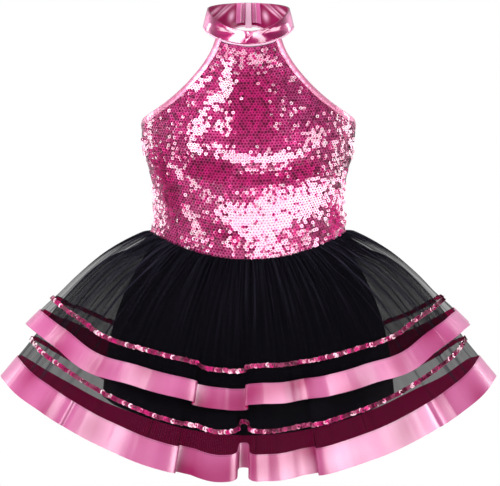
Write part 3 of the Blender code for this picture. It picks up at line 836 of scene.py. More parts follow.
def cup_sequin(radius):
    """A sequin's corners and faces: a round cup of foil with a hole in its middle."""
    hole = radius * CUP_RINGS[0][0]
    bpy.ops.mesh.primitive_circle_add(vertices=SEQUIN_SIDES, radius=hole)
    made = bpy.context.object
    bpy.ops.object.mode_set(mode="EDIT")
    bpy.ops.mesh.select_all(action="SELECT")
    for (inner, low), (outer, high) in zip(CUP_RINGS, CUP_RINGS[1:]):
        bpy.ops.mesh.extrude_edges_move(
            TRANSFORM_OT_translate={"value": (0.0, 0.0, radius * (high - low))}
        )
        bpy.ops.transform.resize(value=(outer / inner, outer / inner, 1.0))
    bpy.ops.mesh.select_all(action="SELECT")
    bpy.ops.mesh.normals_make_consistent(inside=False)
    bpy.ops.object.mode_set(mode="OBJECT")
    corners = np.array([tuple(v.co) for v in made.data.vertices])
    # Extruding lists its new faces in no fixed order, so they are sorted.
    faces = np.array(sorted(tuple(f.vertices) for f in made.data.polygons))
    if sum(f.normal.z for f in made.data.polygons) < 0:
        faces = faces[:, ::-1]
    bpy.data.objects.remove(made)
    return corners, faces


def square_to(vectors, axes):
    """Unit vectors, each turned the shortest way until it is square to its axis."""
    return unit(vectors - axes * (vectors * axes).sum(axis=-1, keepdims=True))


def sew_on(name, shape, places, along, out, tilts, material, random):
    """Copies of a small shape, joined in one mesh. Each lies on its place facing out,
    turned at random, and tipped by its own two tilts."""
    corners, faces = shape
    count = len(places)
    along = square_to(along, out)
    tip_along, tip_across = (np.tan(tilt)[:, None] for tilt in tilts)
    face = unit(out + along * tip_along + np.cross(out, along) * tip_across)
    right = square_to(along, face)
    up = np.cross(face, right)
    spin = random.uniform(0.0, 2 * math.pi, count)[:, None]
    right, up = (
        right * np.cos(spin) + up * np.sin(spin),
        up * np.cos(spin) - right * np.sin(spin),
    )
    spread = (
        places[:, None]
        + corners[None, :, 0:1] * right[:, None]
        + corners[None, :, 1:2] * up[:, None]
        + corners[None, :, 2:3] * face[:, None]
    )
    numbers = faces[None] + (np.arange(count) * len(corners))[:, None, None]
    numbers = numbers.reshape(-1, faces.shape[1]).tolist()
    mesh = bpy.data.meshes.new(name)
    mesh.from_pydata(spread.reshape(-1, 3).tolist(), [], numbers)
    mesh.materials.append(material)
    mesh.shade_smooth()
    made = add_object(name, mesh)
    set_points(made, "tone", np.repeat(random.uniform(0, 1, count), len(corners)))
    from_middle = np.linalg.norm(corners[:, :2], axis=1)
    set_points(made, "rim", np.tile(from_middle / from_middle.max(), count))
    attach(made, "root")
    return made


# Metallised polyester film: a magenta mirror under a clear film. Each sequin came from
# another spot of the roll, so their tone differs a little. The rim is dull all round,
# and
# its colour is painted pale: a painted highlight of the pressed rim. The scuff number
# is
# 1 where wear has paled and dulled the whole sequin; it is lower at random, and lower
# in hollows, where it is painted shade.
sequin_foil, tree, shader = new_material(
    "magenta_sequin_foil",
    {"Coat Weight": 1.0, "Coat Roughness": 0.10, "Coat IOR": 1.65},
)
tone, outward, scuff_and_painted_shade = (
    add_node(tree, "Attribute", "Fac", {"attribute_name": name}, {})
    for name in ("tone", "rim", "scuff_and_painted_shade")
)
foils = add_node(tree, "Mix", "Result", RGBA, {
    "Factor": tone, "A": linear("#480122"), "B": linear("#a4085a"),
})
# Painted highlight: the ring at the rim is painted pale, for the glint of the cup's
# raised rim.
painted_glint = add_node(tree, "MapRange", "Result", {}, {
    "Value": outward, "From Min": 0.72, "From Max": 1.0, "To Max": 0.8,
})
rims = add_node(tree, "Mix", "Result", RGBA, {
    "Factor": scuff_and_painted_shade, "A": linear("#8c164f"), "B": linear("#cc5c9c"),
})
half_scuff_and_shade = add_node(tree, "Math", "Value", {"operation": "MULTIPLY"}, {
    0: scuff_and_painted_shade, 1: 0.5,
})
middles = add_node(tree, "Mix", "Result", RGBA, {
    "Factor": half_scuff_and_shade, "A": foils, "B": linear("#b4146a"),
})
tones = add_node(tree, "Mix", "Result", RGBA, {"Factor": painted_glint, "A": middles, "B": rims})
dull = add_node(tree, "MapRange", "Result", {}, {
    "Value": painted_glint, "To Min": 0.45, "To Max": 0.6,
})
bare = add_node(tree, "MapRange", "Result", {}, {
    "Value": painted_glint, "To Min": 1.0, "To Max": 0.25,
})
mirror = add_node(
    tree, "Math", "Value", {"operation": "MULTIPLY_ADD", "use_clamp": True},
    {0: half_scuff_and_shade, 1: -0.6, 2: bare},
)
set_inputs(shader, {"Base Color": tones, "Roughness": dull, "Metallic": mirror})

# The cotton tape that the string is sewn to: plain and dull. Light comes through it as
# it does through the ribbons.
tape_cotton, tree, shader = new_material(
    "magenta_braid_tape", {"Base Color": linear("#7c0a44"), "Roughness": 0.8}
)


def read_line(line, passed, at):
    """A line's points, or what it holds at them, at these distances along it."""
    return np.stack([np.interp(at, passed, column) for column in line.T], axis=1)


def braid(name, tier, seed):
    """Sequins along the line in the middle of the braid's two rows, and their tape."""
    middle = (tier.passed[BRAID_TOP] + tier.passed[BRAID_BOTTOM]) / 2
    points = tier.surface(middle + np.linspace(-TAPE_HALF_WIDTH, TAPE_HALF_WIDTH, 3))
    points = points + facing(points, closed=True) * TAPE_LIFT
    tape = cloth(f"{name}_tape", points, True, tape_cotton, TAPE_THICK, satin_back)

    random = np.random.default_rng(seed)
    strip = tier.surface(middle + np.array([-BRAID_SEQUIN, 0.0, BRAID_SEQUIN]))
    out = facing(strip, closed=True)[1]
    line = strip[1] + out * BRAID_LIFT
    line, out = (np.concatenate([value, value[:1]]) for value in (line, out))
    run = passed_along(line)
    at = np.arange(0.0, run[-1] - BRAID_PITCH / 2, BRAID_PITCH)
    places, faces = read_line(line, run, at), unit(read_line(out, run, at))
    along = unit(np.roll(places, -1, axis=0) - np.roll(places, 1, axis=0))
    count = len(places)
    aside = random.normal(0.0, OFF_LINE, count)[:, None]
    places = places + np.cross(faces, along) * aside
    turned = at / run[-1] * math.tau
    twist = sum(np.sin(turned * turns + random.uniform(0, 6)) for turns in TWIST_TURNS)
    tilts = (
        BRAID_TILT + random.normal(0.0, UNEVEN_ALONG, count),
        TWIST_TILT * twist - TWIST_BACK + random.normal(0.0, UNEVEN_ACROSS, count),
    )
    shape = cup_sequin(BRAID_SEQUIN)
    made = sew_on(name, shape, places, along, faces, tilts, sequin_foil, random)
    return made


for name, tier, seed in (("lower", lower, 31), ("upper", upper, 37)):
    made = braid(f"{name}_braid", tier, seed)
    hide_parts(f"braid_{name}")


# Bodice
# Stretch cloth sewn all over with small magenta cup sequins, cut away at the armholes.
# Its creases pull from the underarms and lie across the middle.
FrontRow = namedtuple("FrontRow", "edge_x edge_z middle_z half_width half_depth")
FRONT_ROWS = rows_of(FrontRow, [
    (0.0355, -0.0240, -0.0318, 0.0500, 0.0430),
    (0.0392, -0.0345, -0.0425, 0.0620, 0.0485),
    (0.0446, -0.0445, -0.0520, 0.0740, 0.0540),
    (0.0509, -0.0540, -0.0610, 0.0840, 0.0590),
    (0.0577, -0.0625, -0.0690, 0.0920, 0.0635),
    (0.0657, -0.0715, -0.0770, 0.0990, 0.0680),
    (0.0749, -0.0805, -0.0850, 0.1050, 0.0720),
    (0.0850, -0.0893, -0.0930, 0.1100, 0.0755),
    (0.0964, -0.0980, -0.1010, 0.1140, 0.0785),
    (0.1083, -0.1062, -0.1095, 0.1163, 0.0810),
    (0.1147, -0.1112, -0.1150, 0.1167, 0.0825),
    (0.1166, -0.1150, -0.1205, 0.1166, 0.0840),
    (0.1160, -0.1330, -0.1405, 0.1160, 0.0860),
    (0.1125, -0.1510, -0.1615, 0.1125, 0.0868),
    (0.1077, -0.1710, -0.1845, 0.1077, 0.0856),
    (0.1036, -0.1920, -0.2095, 0.1036, 0.0825),
    (0.1030, -0.2130, -0.2350, 0.1030, 0.0790),
    (0.1064, -0.2320, -0.2595, 0.1064, 0.0764),
])
UNDERARM_ROW = 11
BackRow = namedtuple("BackRow", "half_width half_depth side_z middle_z")
BACK_ROWS = rows_of(BackRow, [
    (0.1166, 0.0740, -0.1150, -0.1400),
    (0.1160, 0.0735, -0.1330, -0.1560),
    (0.1125, 0.0730, -0.1510, -0.1740),
    (0.1077, 0.0725, -0.1710, -0.1950),
    (0.1036, 0.0725, -0.1920, -0.2160),
    (0.1030, 0.0740, -0.2130, -0.2380),
    (0.1064, 0.0764, -0.2320, -0.2595),
])
# A crease is a soft ridge, or a trough where height is less than 0. turn is its slope
# on the cloth in degrees, and bend curves its two ends up.
Crease = namedtuple("Crease", "x z turn half_length half_width height bend")
FRONT_CREASES = rows_of(Crease, [
    (-0.038, -0.082, 62.0, 0.050, 0.0090, 0.0020, 0.0),
    (-0.024, -0.100, 70.0, 0.050, 0.0090, -0.0016, 0.0),
    (0.012, -0.152, 0.0, 0.060, 0.0075, 0.0022, 3.0),
    (0.012, -0.170, 0.0, 0.070, 0.0090, -0.0018, 3.0),
    (0.052, -0.196, 28.0, 0.055, 0.0120, 0.0018, 2.0),
    (-0.065, -0.175, -58.0, 0.060, 0.0100, -0.0016, 0.0),
    (-0.045, -0.205, -50.0, 0.050, 0.0110, 0.0018, 0.0),
    (0.062, -0.095, -58.0, 0.040, 0.0085, -0.0014, 0.0),
    (0.075, -0.118, -40.0, 0.035, 0.0085, 0.0014, 0.0),
    (0.000, -0.060, 0.0, 0.030, 0.0100, 0.0010, -4.0),
])
BACK_CREASES = rows_of(Crease, [
    (-0.030, -0.185, 12.0, 0.060, 0.0090, 0.0018, 2.0),
    (0.035, -0.205, -14.0, 0.060, 0.0100, 0.0016, 2.0),
    (0.000, -0.225, 0.0, 0.070, 0.0090, -0.0014, 3.0),
    (0.060, -0.165, 40.0, 0.040, 0.0090, -0.0014, 0.0),
    (-0.065, -0.165, -40.0, 0.040, 0.0090, -0.0014, 0.0),
])
FRONT_DOWN, BACK_DOWN, BODICE_ACROSS = 90, 50, 101
BODICE_THICK = 0.0008
front_passed = spine(FRONT_ROWS, "edge_x", "edge_z")
back_passed = spine(BACK_ROWS, "half_width", "side_z")


def front_point(at, share):
    """The smooth front at a distance down its edge. share runs from -1 to 1 between
    its two edges."""
    edge_x, edge_z, middle_z, half_width, half_depth = read_rows(
        FRONT_ROWS, front_passed, at
    )
    edge = np.arcsin(np.clip(edge_x / half_width, -1.0, 1.0))
    angle = edge * share
    middle = 1.0 - (np.sin(angle) / np.sin(edge)) ** 2
    height = edge_z + (middle_z - edge_z) * middle
    across, ahead = half_width * np.sin(angle), half_depth * np.cos(angle)
    return np.stack([across, -ahead, height], axis=-1)


def back_point(at, share):
    """The smooth back at a distance down its edge, from one side seam to the other."""
    half_width, half_depth, side_z, middle_z = read_rows(BACK_ROWS, back_passed, at)
    angle = math.pi / 2 * share
    height = side_z + (middle_z - side_z) * np.cos(angle) ** 2
    across, behind = -half_width * np.sin(angle), half_depth * np.cos(angle)
    return np.stack([across, behind, height], axis=-1)


def sloped(x, z, turn):
    """Distances along a line that slopes by turn degrees, and across it."""
    turned = math.radians(turn)
    along = x * math.cos(turned) + z * math.sin(turned)
    return along, z * math.cos(turned) - x * math.sin(turned)


def patch_reach(points, patch, power):
    """How strongly a crease or a patch of the cloth is felt at each point, from 0 to 1.
    A greater power gives it a firmer edge."""
    x, z = points[..., 0] - patch.x, points[..., 2] - patch.z
    along, across = sloped(x, z, patch.turn)
    across = across - patch.bend * along**2
    return np.exp(
        -((along / patch.half_length) ** power) - (across / patch.half_width) ** power
    )


def grid_of(down, across):
    """Each distance down with each place across, as two grids."""
    return np.broadcast_arrays(np.asarray(down)[:, None], np.asarray(across)[None, :])


def panel(surface, at, shares, creases):
    """A panel's points at a grid of distances and shares, with its creases raised."""
    points = surface(*grid_of(at, shares))
    raised = np.zeros(points.shape[:-1])
    for crease in creases:
        raised += crease.height * patch_reach(points, crease, 2)
    return points + facing(points, closed=False) * raised[..., None]


# Nylon and elastane jersey under the sequins, dyed to match them.
JERSEY_RIB = 0.0012
jersey, tree, shader = new_material(
    "magenta_stretch_jersey",
    {"Base Color": linear("#44062a"), "Roughness": 0.8, "Specular IOR Level": 0.1},
)
cut = add_node(tree, "TexCoord", "UV", {}, {})
knit = add_node(
    tree, "TexWave", "Fac", {"wave_type": "BANDS", "bands_direction": "X"},
    {"Vector": cut, "Scale": 1 / JERSEY_RIB / math.tau, "Distortion": 1.0},
)
ribs = add_node(tree, "Bump", "Normal", {}, {
    "Strength": 0.4, "Distance": 0.0003, "Height": knit,
})
set_inputs(shader, {"Normal": ribs})

shares = np.linspace(-1.0, 1.0, BODICE_ACROSS)
front_at = np.linspace(0.0, front_passed[-1], FRONT_DOWN)
front_points = panel(front_point, front_at, shares, FRONT_CREASES)
front_cloth = cloth("front_cloth", front_points, False, jersey, BODICE_THICK)
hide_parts("bodice_front")
back_at = np.linspace(0.0, back_passed[-1], BACK_DOWN)
back_points = panel(back_point, back_at, shares, BACK_CREASES)
back_cloth = cloth("back_cloth", back_points, False, jersey, BODICE_THICK)
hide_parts("bodice_back")

# Sequins sit in staggered rows, a little closer than they are wide, and hang by their
# upper stitch so that each one tips a little its own way. One in four hangs by a loose
# thread and tips further. The lowest row hangs over the waist seam.
BODICE_SEQUIN = 0.00206
SEQUIN_PITCH = 0.0036
SEQUIN_ROW_PITCH = 0.0031
SEQUIN_JITTER = 0.0002
SEQUIN_LIFT = 0.0005
OVERHANG = 0.0016
LAP_TILT = 0.04
LOOSE_SHARE, LOOSE_TILT, FIRM_TILT = 0.25, 0.16, 0.06
LEAST_SCUFFED = 0.2
# How much of its swing a sequin loses where a patch of the cloth holds it.
STEADIED = 0.6
# A row is read from three lines of the cloth, this far apart.
BESIDE_ROW = 0.0008
ROW_STEPS, LINE_STEPS = 400, 241
# In a patch of the cloth, its small puckers tip a share of the sequins to face azimuth
# and rise, in degrees. The others keep their own way.
Lean = namedtuple("Lean", "x z turn half_length half_width bend azimuth rise share")
LEAN_PULL = 0.94
FRONT_PUCKERS = rows_of(Lean, [
    (0.003, -0.047, 0.0, 0.030, 0.010, 0.0, -4.0, 30.0, 0.45),
    (-0.060, -0.100, 60.0, 0.040, 0.015, 0.0, -20.0, 27.0, 0.25),
    (0.052, -0.095, -50.0, 0.042, 0.014, 0.0, 18.0, 25.0, 0.35),
    (0.010, -0.190, 0.0, 0.060, 0.011, 2.0, 10.0, 1.0, 0.30),
    (-0.046, -0.200, -46.0, 0.060, 0.016, 0.0, 1.0, -4.0, 0.40),
    (-0.082, -0.150, 75.0, 0.030, 0.014, 0.0, -31.0, 4.0, 0.25),
    (0.088, -0.150, -75.0, 0.030, 0.012, 0.0, 27.0, 3.0, 0.25),
    (0.010, -0.240, 0.0, 0.070, 0.008, 0.0, 12.0, -11.0, 0.35),
])
# Hollows face the dark side of the room, and their sequins are painted darker: painted
# shade.
FRONT_HOLLOWS = rows_of(Lean, [
    (0.004, -0.096, 90.0, 0.042, 0.029, 0.0, 0.0, 7.0, 0.95),
    (-0.040, -0.165, -10.0, 0.028, 0.014, 0.0, 0.0, 7.0, 0.92),
    (0.059, -0.166, 15.0, 0.020, 0.011, 0.0, 4.0, 6.0, 0.90),
    (-0.086, -0.180, -72.0, 0.040, 0.009, 0.0, -8.0, 6.0, 0.92),
    (-0.025, -0.234, -30.0, 0.024, 0.006, 0.0, 0.0, 5.0, 0.75),
    (0.093, -0.217, 90.0, 0.022, 0.008, 0.0, 12.0, 5.0, 0.70),
    (0.010, -0.174, 0.0, 0.040, 0.008, 1.5, 0.0, 7.0, 0.85),
])
# Where the cloth catches the soft boxes, nearly all of its sequins face one of them.
FRONT_LIGHTS = rows_of(Lean, [
    (-0.0226, -0.0594, 90.0, 0.015, 0.0045, 0.0, -14.0, 20.0, 0.95),
    (-0.0325, -0.0869, 55.0, 0.017, 0.0075, 0.0, -14.0, 20.0, 1.0),
    (-0.0534, -0.120, 60.0, 0.014, 0.007, 0.0, -14.0, 19.0, 0.95),
    (-0.0567, -0.142, -20.0, 0.011, 0.0045, 0.0, -14.0, 18.0, 0.90),
    (-0.0534, -0.0726, 15.0, 0.015, 0.0045, 0.0, -14.0, 20.0, 0.70),
    (0.0105, -0.1535, 0.0, 0.050, 0.0052, 3.5, 12.0, -9.0, 1.0),
    (0.071, -0.131, 35.0, 0.014, 0.004, 0.0, 26.0, 3.0, 0.85),
    (0.038, -0.208, 20.0, 0.054, 0.0195, 0.0, 12.0, -9.0, 1.0),
    (-0.008, -0.220, -35.0, 0.028, 0.012, 0.0, 10.0, -9.0, 0.95),
    (-0.060, -0.221, -65.0, 0.022, 0.005, 0.0, -25.0, 2.0, 0.85),
    (-0.060, -0.179, -36.0, 0.032, 0.0045, 0.0, -25.0, 2.0, 0.80),
    (0.048, -0.068, -20.0, 0.008, 0.0035, 0.0, 4.0, 34.0, 0.90),
    (0.0534, -0.098, -28.0, 0.024, 0.0026, 0.0, 14.0, 20.0, 0.80),
    (-0.112, -0.140, 80.0, 0.030, 0.0035, 0.0, -55.0, 3.0, 0.50),
    (0.112, -0.140, 100.0, 0.030, 0.0035, 0.0, 55.0, 3.0, 0.50),
    (-0.101, -0.200, 90.0, 0.036, 0.0035, 0.0, -55.0, 3.0, 0.55),
    (0.101, -0.200, 90.0, 0.036, 0.0035, 0.0, 55.0, 3.0, 0.55),
])
BACK_LEANS = rows_of(Lean, [
    (-0.030, -0.185, 12.0, 0.050, 0.008, 2.0, 168.0, 18.0, 0.8),
    (0.035, -0.212, -14.0, 0.050, 0.012, 2.0, 190.0, -8.0, 0.8),
    (0.010, -0.160, 0.0, 0.060, 0.008, -2.0, 180.0, 6.0, 0.8),
])


def leant(places, out, leans, random):
    """The ways that sequins face once the patches have tipped them, and how firmly."""
    held = np.zeros(len(out))
    for lean in leans:
        chance = random.uniform(0.0, 1.0, len(out))
        tipped = chance < lean.share * patch_reach(places, lean, 4)
        share = np.where(tipped, LEAN_PULL, 0.0)
        towards = direction(lean.azimuth, lean.rise)
        out = unit(out * (1.0 - share[:, None]) + towards * share[:, None])
        held = np.maximum(held, share)
    return out, held


def sequin_lines(surface, end, creases, random):
    """Where a panel's sequins sit, which way their row runs, and the cloth faces. Each
    laps over the one beside it and the one below."""
    fine_at = np.linspace(0.0, end, ROW_STEPS)
    fallen = passed_along(surface(fine_at, np.zeros(ROW_STEPS)))
    shares = np.linspace(-1.0, 1.0, LINE_STEPS)
    beside = np.array([-BESIDE_ROW, 0.0, BESIDE_ROW])
    found = []
    rows = np.arange(SEQUIN_ROW_PITCH, fallen[-1] + OVERHANG, SEQUIN_ROW_PITCH)
    for number, row in enumerate(rows):
        inside = np.interp(row, fallen, fine_at)
        inside = min(max(inside, BESIDE_ROW), end - BESIDE_ROW)
        beyond = row - np.interp(inside, fine_at, fallen)
        strip = panel(surface, inside + beside, shares, creases)
        line = strip[1] + unit(strip[2] - strip[1]) * beyond
        faces = facing(strip, closed=False)[1]
        run = passed_along(line)
        centre = run[-1] / 2
        reach = centre - SEQUIN_PITCH / 4
        count = int(reach / SEQUIN_PITCH) + 1
        spots = (np.arange(-count, count + 1) + 0.5 * (number % 2)) * SEQUIN_PITCH
        spots = spots + random.normal(0.0, SEQUIN_JITTER, len(spots))
        spots = spots[np.abs(spots) < reach] + centre
        carried = (line, np.gradient(line, axis=0), faces)
        found.append([read_line(values, run, spots) for values in carried])
    return [np.concatenate(values) for values in zip(*found)]


def sew_sequins(name, surface, end, creases, leans, hollows, seed):
    """A panel's sequins, tipped as its creases leave them, scuffed at random, and
    painted darker in its hollows as painted shade.
    """
    random = np.random.default_rng(seed)
    places, along, out = sequin_lines(surface, end, creases, random)
    out = unit(out)
    count = len(places)
    places[:, 2] += random.normal(0.0, SEQUIN_JITTER, count)
    faces, held = leant(places, out, leans, random)
    tipped = np.sqrt(np.clip(1.0 - (faces * out).sum(axis=-1) ** 2, 0.0, 1.0))
    lift = SEQUIN_LIFT + tipped * BODICE_SEQUIN + random.uniform(0.0, 0.0001, count)
    hangs_loose = random.uniform(0.0, 1.0, count) < LOOSE_SHARE
    loose = np.where(hangs_loose, LOOSE_TILT, FIRM_TILT) * (1.0 - STEADIED * held)
    tilts = [LAP_TILT + random.normal(0.0, 1.0, count) * loose for _ in range(2)]
    # Painted shade: sequins in the hollows get a lower scuff number, which darkens
    # their rims and middles.
    scuff_and_painted_shade = np.ones(count)
    for hollow in hollows:
        kept = 1.0 - hollow.share * patch_reach(places, hollow, 4)
        scuff_and_painted_shade = np.minimum(scuff_and_painted_shade, kept)
    scuff_and_painted_shade = scuff_and_painted_shade * random.uniform(LEAST_SCUFFED, 1.0, count)
    places = places + out * lift[:, None]
    made = sew_on(name, small_sequin, places, along, faces, tilts, sequin_foil, random)
    set_points(made, "scuff_and_painted_shade", np.repeat(scuff_and_painted_shade, len(small_sequin[0])))
    return made


small_sequin = cup_sequin(BODICE_SEQUIN)
front_leans = FRONT_PUCKERS + FRONT_HOLLOWS + FRONT_LIGHTS
made = sew_sequins(
    "front_sequins", front_point, front_passed[-1], FRONT_CREASES, front_leans,
    FRONT_HOLLOWS, 41,
)
made = sew_sequins(
    "back_sequins", back_point, back_passed[-1], BACK_CREASES, BACK_LEANS, (), 43
)


# Bindings
# Strips of foil jersey folded over the cut edges of the armholes and of the back, and
# stitched down. The outer fold is soft and round, and the inner edge is turned under.
BINDING_WIDTH = 0.0071
BINDING_LIFT = 0.0013
BINDING_INSIDE = -0.0022
BINDING_THICK = 0.0004
# The stitches' puckers: how far apart, and how high.
BINDING_PUCKERS = ((0.0047, 0.00008), (0.0113, 0.00014), (0.031, 0.00018))
ARMHOLE_STEPS, BACK_STEPS = 120, 161
# A second line of the cloth, inside its edge, tells which way the edge faces.
SHARE_INSIDE, BELOW_BACK = 0.94, 0.002


def edge_profile(legs):
    """How far inside the edge, and how far out of the cloth, a folded strip runs."""
    bend = np.linspace(-math.pi / 2, math.pi / 2, 7)
    middle = (BINDING_LIFT + BINDING_INSIDE) / 2
    radius = (BINDING_LIFT - BINDING_INSIDE) / 2
    inner = [(legs, BINDING_INSIDE), (legs / 2, BINDING_INSIDE)]
    fold = [(-radius * 0.5 * math.cos(b), middle + radius * math.sin(b)) for b in bend]
    outer = [
        (legs * 0.3, BINDING_LIFT + 0.0002),
        (legs * 0.65, BINDING_LIFT),
        (legs * 0.80, BINDING_LIFT - 0.0003),
        (legs * 0.88, BINDING_LIFT + 0.0003),
        (legs * 0.96, BINDING_LIFT + 0.0002),
        (legs, BINDING_LIFT - 0.0006),
    ]
    return np.array(inner + fold + outer)


def folded_strip(name, edge, inward, out, material, seed):
    """A strip folded over an edge. Rows run round the fold, columns along the edge."""
    random = np.random.default_rng(seed)
    run = passed_along(edge)
    pucker = sum(
        np.sin(run * math.tau / length + random.uniform(0, 6)) * size
        for length, size in BINDING_PUCKERS
    )[:, None]
    points = np.stack([
        edge + inward * leg + out * (lift + pucker * (leg > 0))
        for leg, lift in edge_profile(BINDING_WIDTH)
    ])
    made = cloth(name, points, False, material, BINDING_THICK)
    return made


def foil_jersey(name, low, high, roughness, metallic):
    """Knitted cloth with a metallised film pressed on and crinkled: it mirrors the room
    softly. Where its highlight number is 1 the colour is painted pale and less
    metallic:
    a painted highlight."""
    material, tree, shader = new_material(
        name,
        {
            "Roughness": roughness,
            "Coat Weight": metallic,
            "Coat Roughness": 0.14,
            "Coat IOR": 1.65,
        },
    )
    on_piece = add_node(tree, "TexCoord", "Object", {}, {})
    crinkle = add_node(tree, "TexNoise", "Fac", {}, {
        "Vector": on_piece, "Scale": 160.0, "Detail": 3.0, "Roughness": 0.6,
    })
    film = add_node(tree, "Mix", "Result", RGBA, {
        "Factor": crinkle, "A": linear(low), "B": linear(high),
    })
    painted_highlight_share = add_node(tree, "Attribute", "Fac", {"attribute_name": "painted_highlight"}, {})
    paled = add_node(tree, "Mix", "Result", RGBA, {
        "Factor": painted_highlight_share, "A": film, "B": linear("#e08cb8"),
    })
    left = add_node(tree, "MapRange", "Result", {}, {
        "Value": painted_highlight_share, "To Min": metallic, "To Max": 0.15,
    })
    dents = add_node(tree, "Bump", "Normal", {}, {
        "Strength": 0.3, "Distance": 0.0005, "Height": crinkle,
    })
    set_inputs(shader, {"Base Color": paled, "Metallic": left, "Normal": dents})
    return material


# The bindings' film is a paler copy of the collar's foil: painted light, for the pale
# look that light gives their folds.
pale_foil = foil_jersey("pale_pink_foil_jersey_painted_light", "#c04e82", "#eca6c0", 0.42, 0.7)

armhole_at = np.linspace(0.0, front_passed[UNDERARM_ROW], ARMHOLE_STEPS)
for name, side in (("left", 1), ("right", -1)):
    shares = np.sort([side * SHARE_INSIDE, side * 1.0])
    strip = front_point(*grid_of(armhole_at, shares))
    edge, panel_side = (1, 0) if side > 0 else (0, 1)
    line, out = strip[:, edge], facing(strip, closed=False)[:, edge]
    inward = square_to(strip[:, panel_side] - line, unit(np.gradient(line, axis=0)))
    if side < 0:
        line, inward, out = line[::-1], inward[::-1], out[::-1]
    strip_name = f"armhole_binding_{name}"
    made = folded_strip(strip_name, line, inward, out, pale_foil, 50 + side)
    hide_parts(f"binding_{name}")
strip = back_point(*grid_of([0.0, BELOW_BACK], np.linspace(-1.0, 1.0, BACK_STEPS)))
inward = unit(strip[1] - strip[0])
out = facing(strip, closed=False)[0]
made = folded_strip("back_binding", strip[0], inward, out, pale_foil, 53)
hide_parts("binding_back")


# Collar
# A stand collar of the same foil jersey, folded double along its top edge. It closes at
# the middle of the back, and its front is creased where the bodice pulls on it.
CollarRow = namedtuple("CollarRow", "half_width half_depth side_z front_z back_z rise")
COLLAR_ROWS = rows_of(CollarRow, [
    (0.0451, 0.0387, 0.0105, -0.0149, 0.0172, 0.0),
    (0.0478, 0.0410, 0.0008, -0.0220, 0.0030, 0.0021),
    (0.0500, 0.0430, -0.0090, -0.0294, -0.0119, 0.0042),
])
CLOSURE_REACH = 0.0200
COLLAR_DIP_POWER = 1.4
COLLAR_THICK = 0.0015
COLLAR_GAP = 0.35
COLLAR_DOWN, COLLAR_ROUND, COLLAR_BEND = 22, 361, 7
# Its top edge is folded this far above the last row of its faces.
TOP_FOLD = 0.0006
NECK_RADIUS = 0.0445
# A crease of the inner side shows this share of its height.
THROUGH_COLLAR = 0.8
collar_passed = spine(COLLAR_ROWS, "half_width", "side_z")
collar_end = collar_passed[-1]
# angle and down, in millimetres, are the middle of a crease, and turn is its slope.
CollarCrease = namedtuple(
    "CollarCrease", "angle down turn half_length half_width height"
)
MIDDLE_CREASES = rows_of(CollarCrease, [
    (1.5, 11.0, 70.0, 0.008, 0.0013, 0.0007),
    (-1.5, 6.0, 105.0, 0.006, 0.0013, -0.0009),
    (0.0, 6.0, 90.0, 0.0110, 0.0060, 0.0007),
])
# The others come in pairs, one on each side.
PAIRED_CREASES = rows_of(CollarCrease, [
    (27.0, 4.5, 12.0, 0.008, 0.0014, 0.0006),
    (34.0, 10.0, -25.0, 0.013, 0.0050, -0.0012),
    (54.0, 7.0, -25.0, 0.009, 0.0035, 0.0012),
    (122.0, 6.0, 20.0, 0.010, 0.0016, 0.0008),
    (130.0, 6.5, 26.0, 0.010, 0.0016, -0.0008),
    (137.5, 6.5, 30.0, 0.010, 0.0010, 0.0007),
    (144.5, 6.5, 30.0, 0.010, 0.0010, 0.0007),
    (156.0, 10.5, 60.0, 0.0036, 0.0028, 0.0006),
])
COLLAR_CREASES = MIDDLE_CREASES + [
    crease._replace(angle=side * crease.angle, turn=side * crease.turn)
    for crease in PAIRED_CREASES
    for side in (-1, 1)
]
# Painted highlights: two pale spots by the middle of the front, and pale patches on
# both sides, painted onto the film. The last number is how strongly each is painted.
COLLAR_PAINTED_HIGHLIGHTS = rows_of(CollarCrease, [
    (-8.5, 5.0, -24.0, 0.0034, 0.0036, 0.9),
    (8.5, 6.0, 24.0, 0.0038, 0.0045, 1.0),
    (-76.0, 12.0, 0.0, 0.0150, 0.0130, 0.9),
    (76.0, 12.0, 0.0, 0.0150, 0.0130, 0.9),
])


def collar_point(at, angle):
    """The outer face of the collar, at a distance down from its top edge."""
    half_width, half_depth, side_z, front_z, back_z, closure_rise = read_rows(
        COLLAR_ROWS, collar_passed, at
    )
    turned = np.radians(angle)
    ahead = np.cos(turned)
    across = half_width * np.sin(turned)
    near = np.clip(np.abs(across) / CLOSURE_REACH, 0.0, 1.0)
    rise = closure_rise * np.cos(near**2 * math.pi / 2) ** 2
    dip = np.maximum(ahead, 0.0) ** COLLAR_DIP_POWER
    height = np.where(
        ahead > 0,
        side_z + (front_z - side_z) * dip,
        side_z - (back_z - side_z) * ahead + rise,
    )
    return np.stack([across, -half_depth * ahead, height], axis=-1)


def collar_reach(at, angle, crease):
    """How strongly a crease is felt at each point of the collar."""
    x = np.radians(angle - crease.angle) * NECK_RADIUS
    along, across = sloped(x, crease.down / 1000 - at, crease.turn)
    return np.exp(
        -((along / crease.half_length) ** 2) - (across / crease.half_width) ** 2
    )


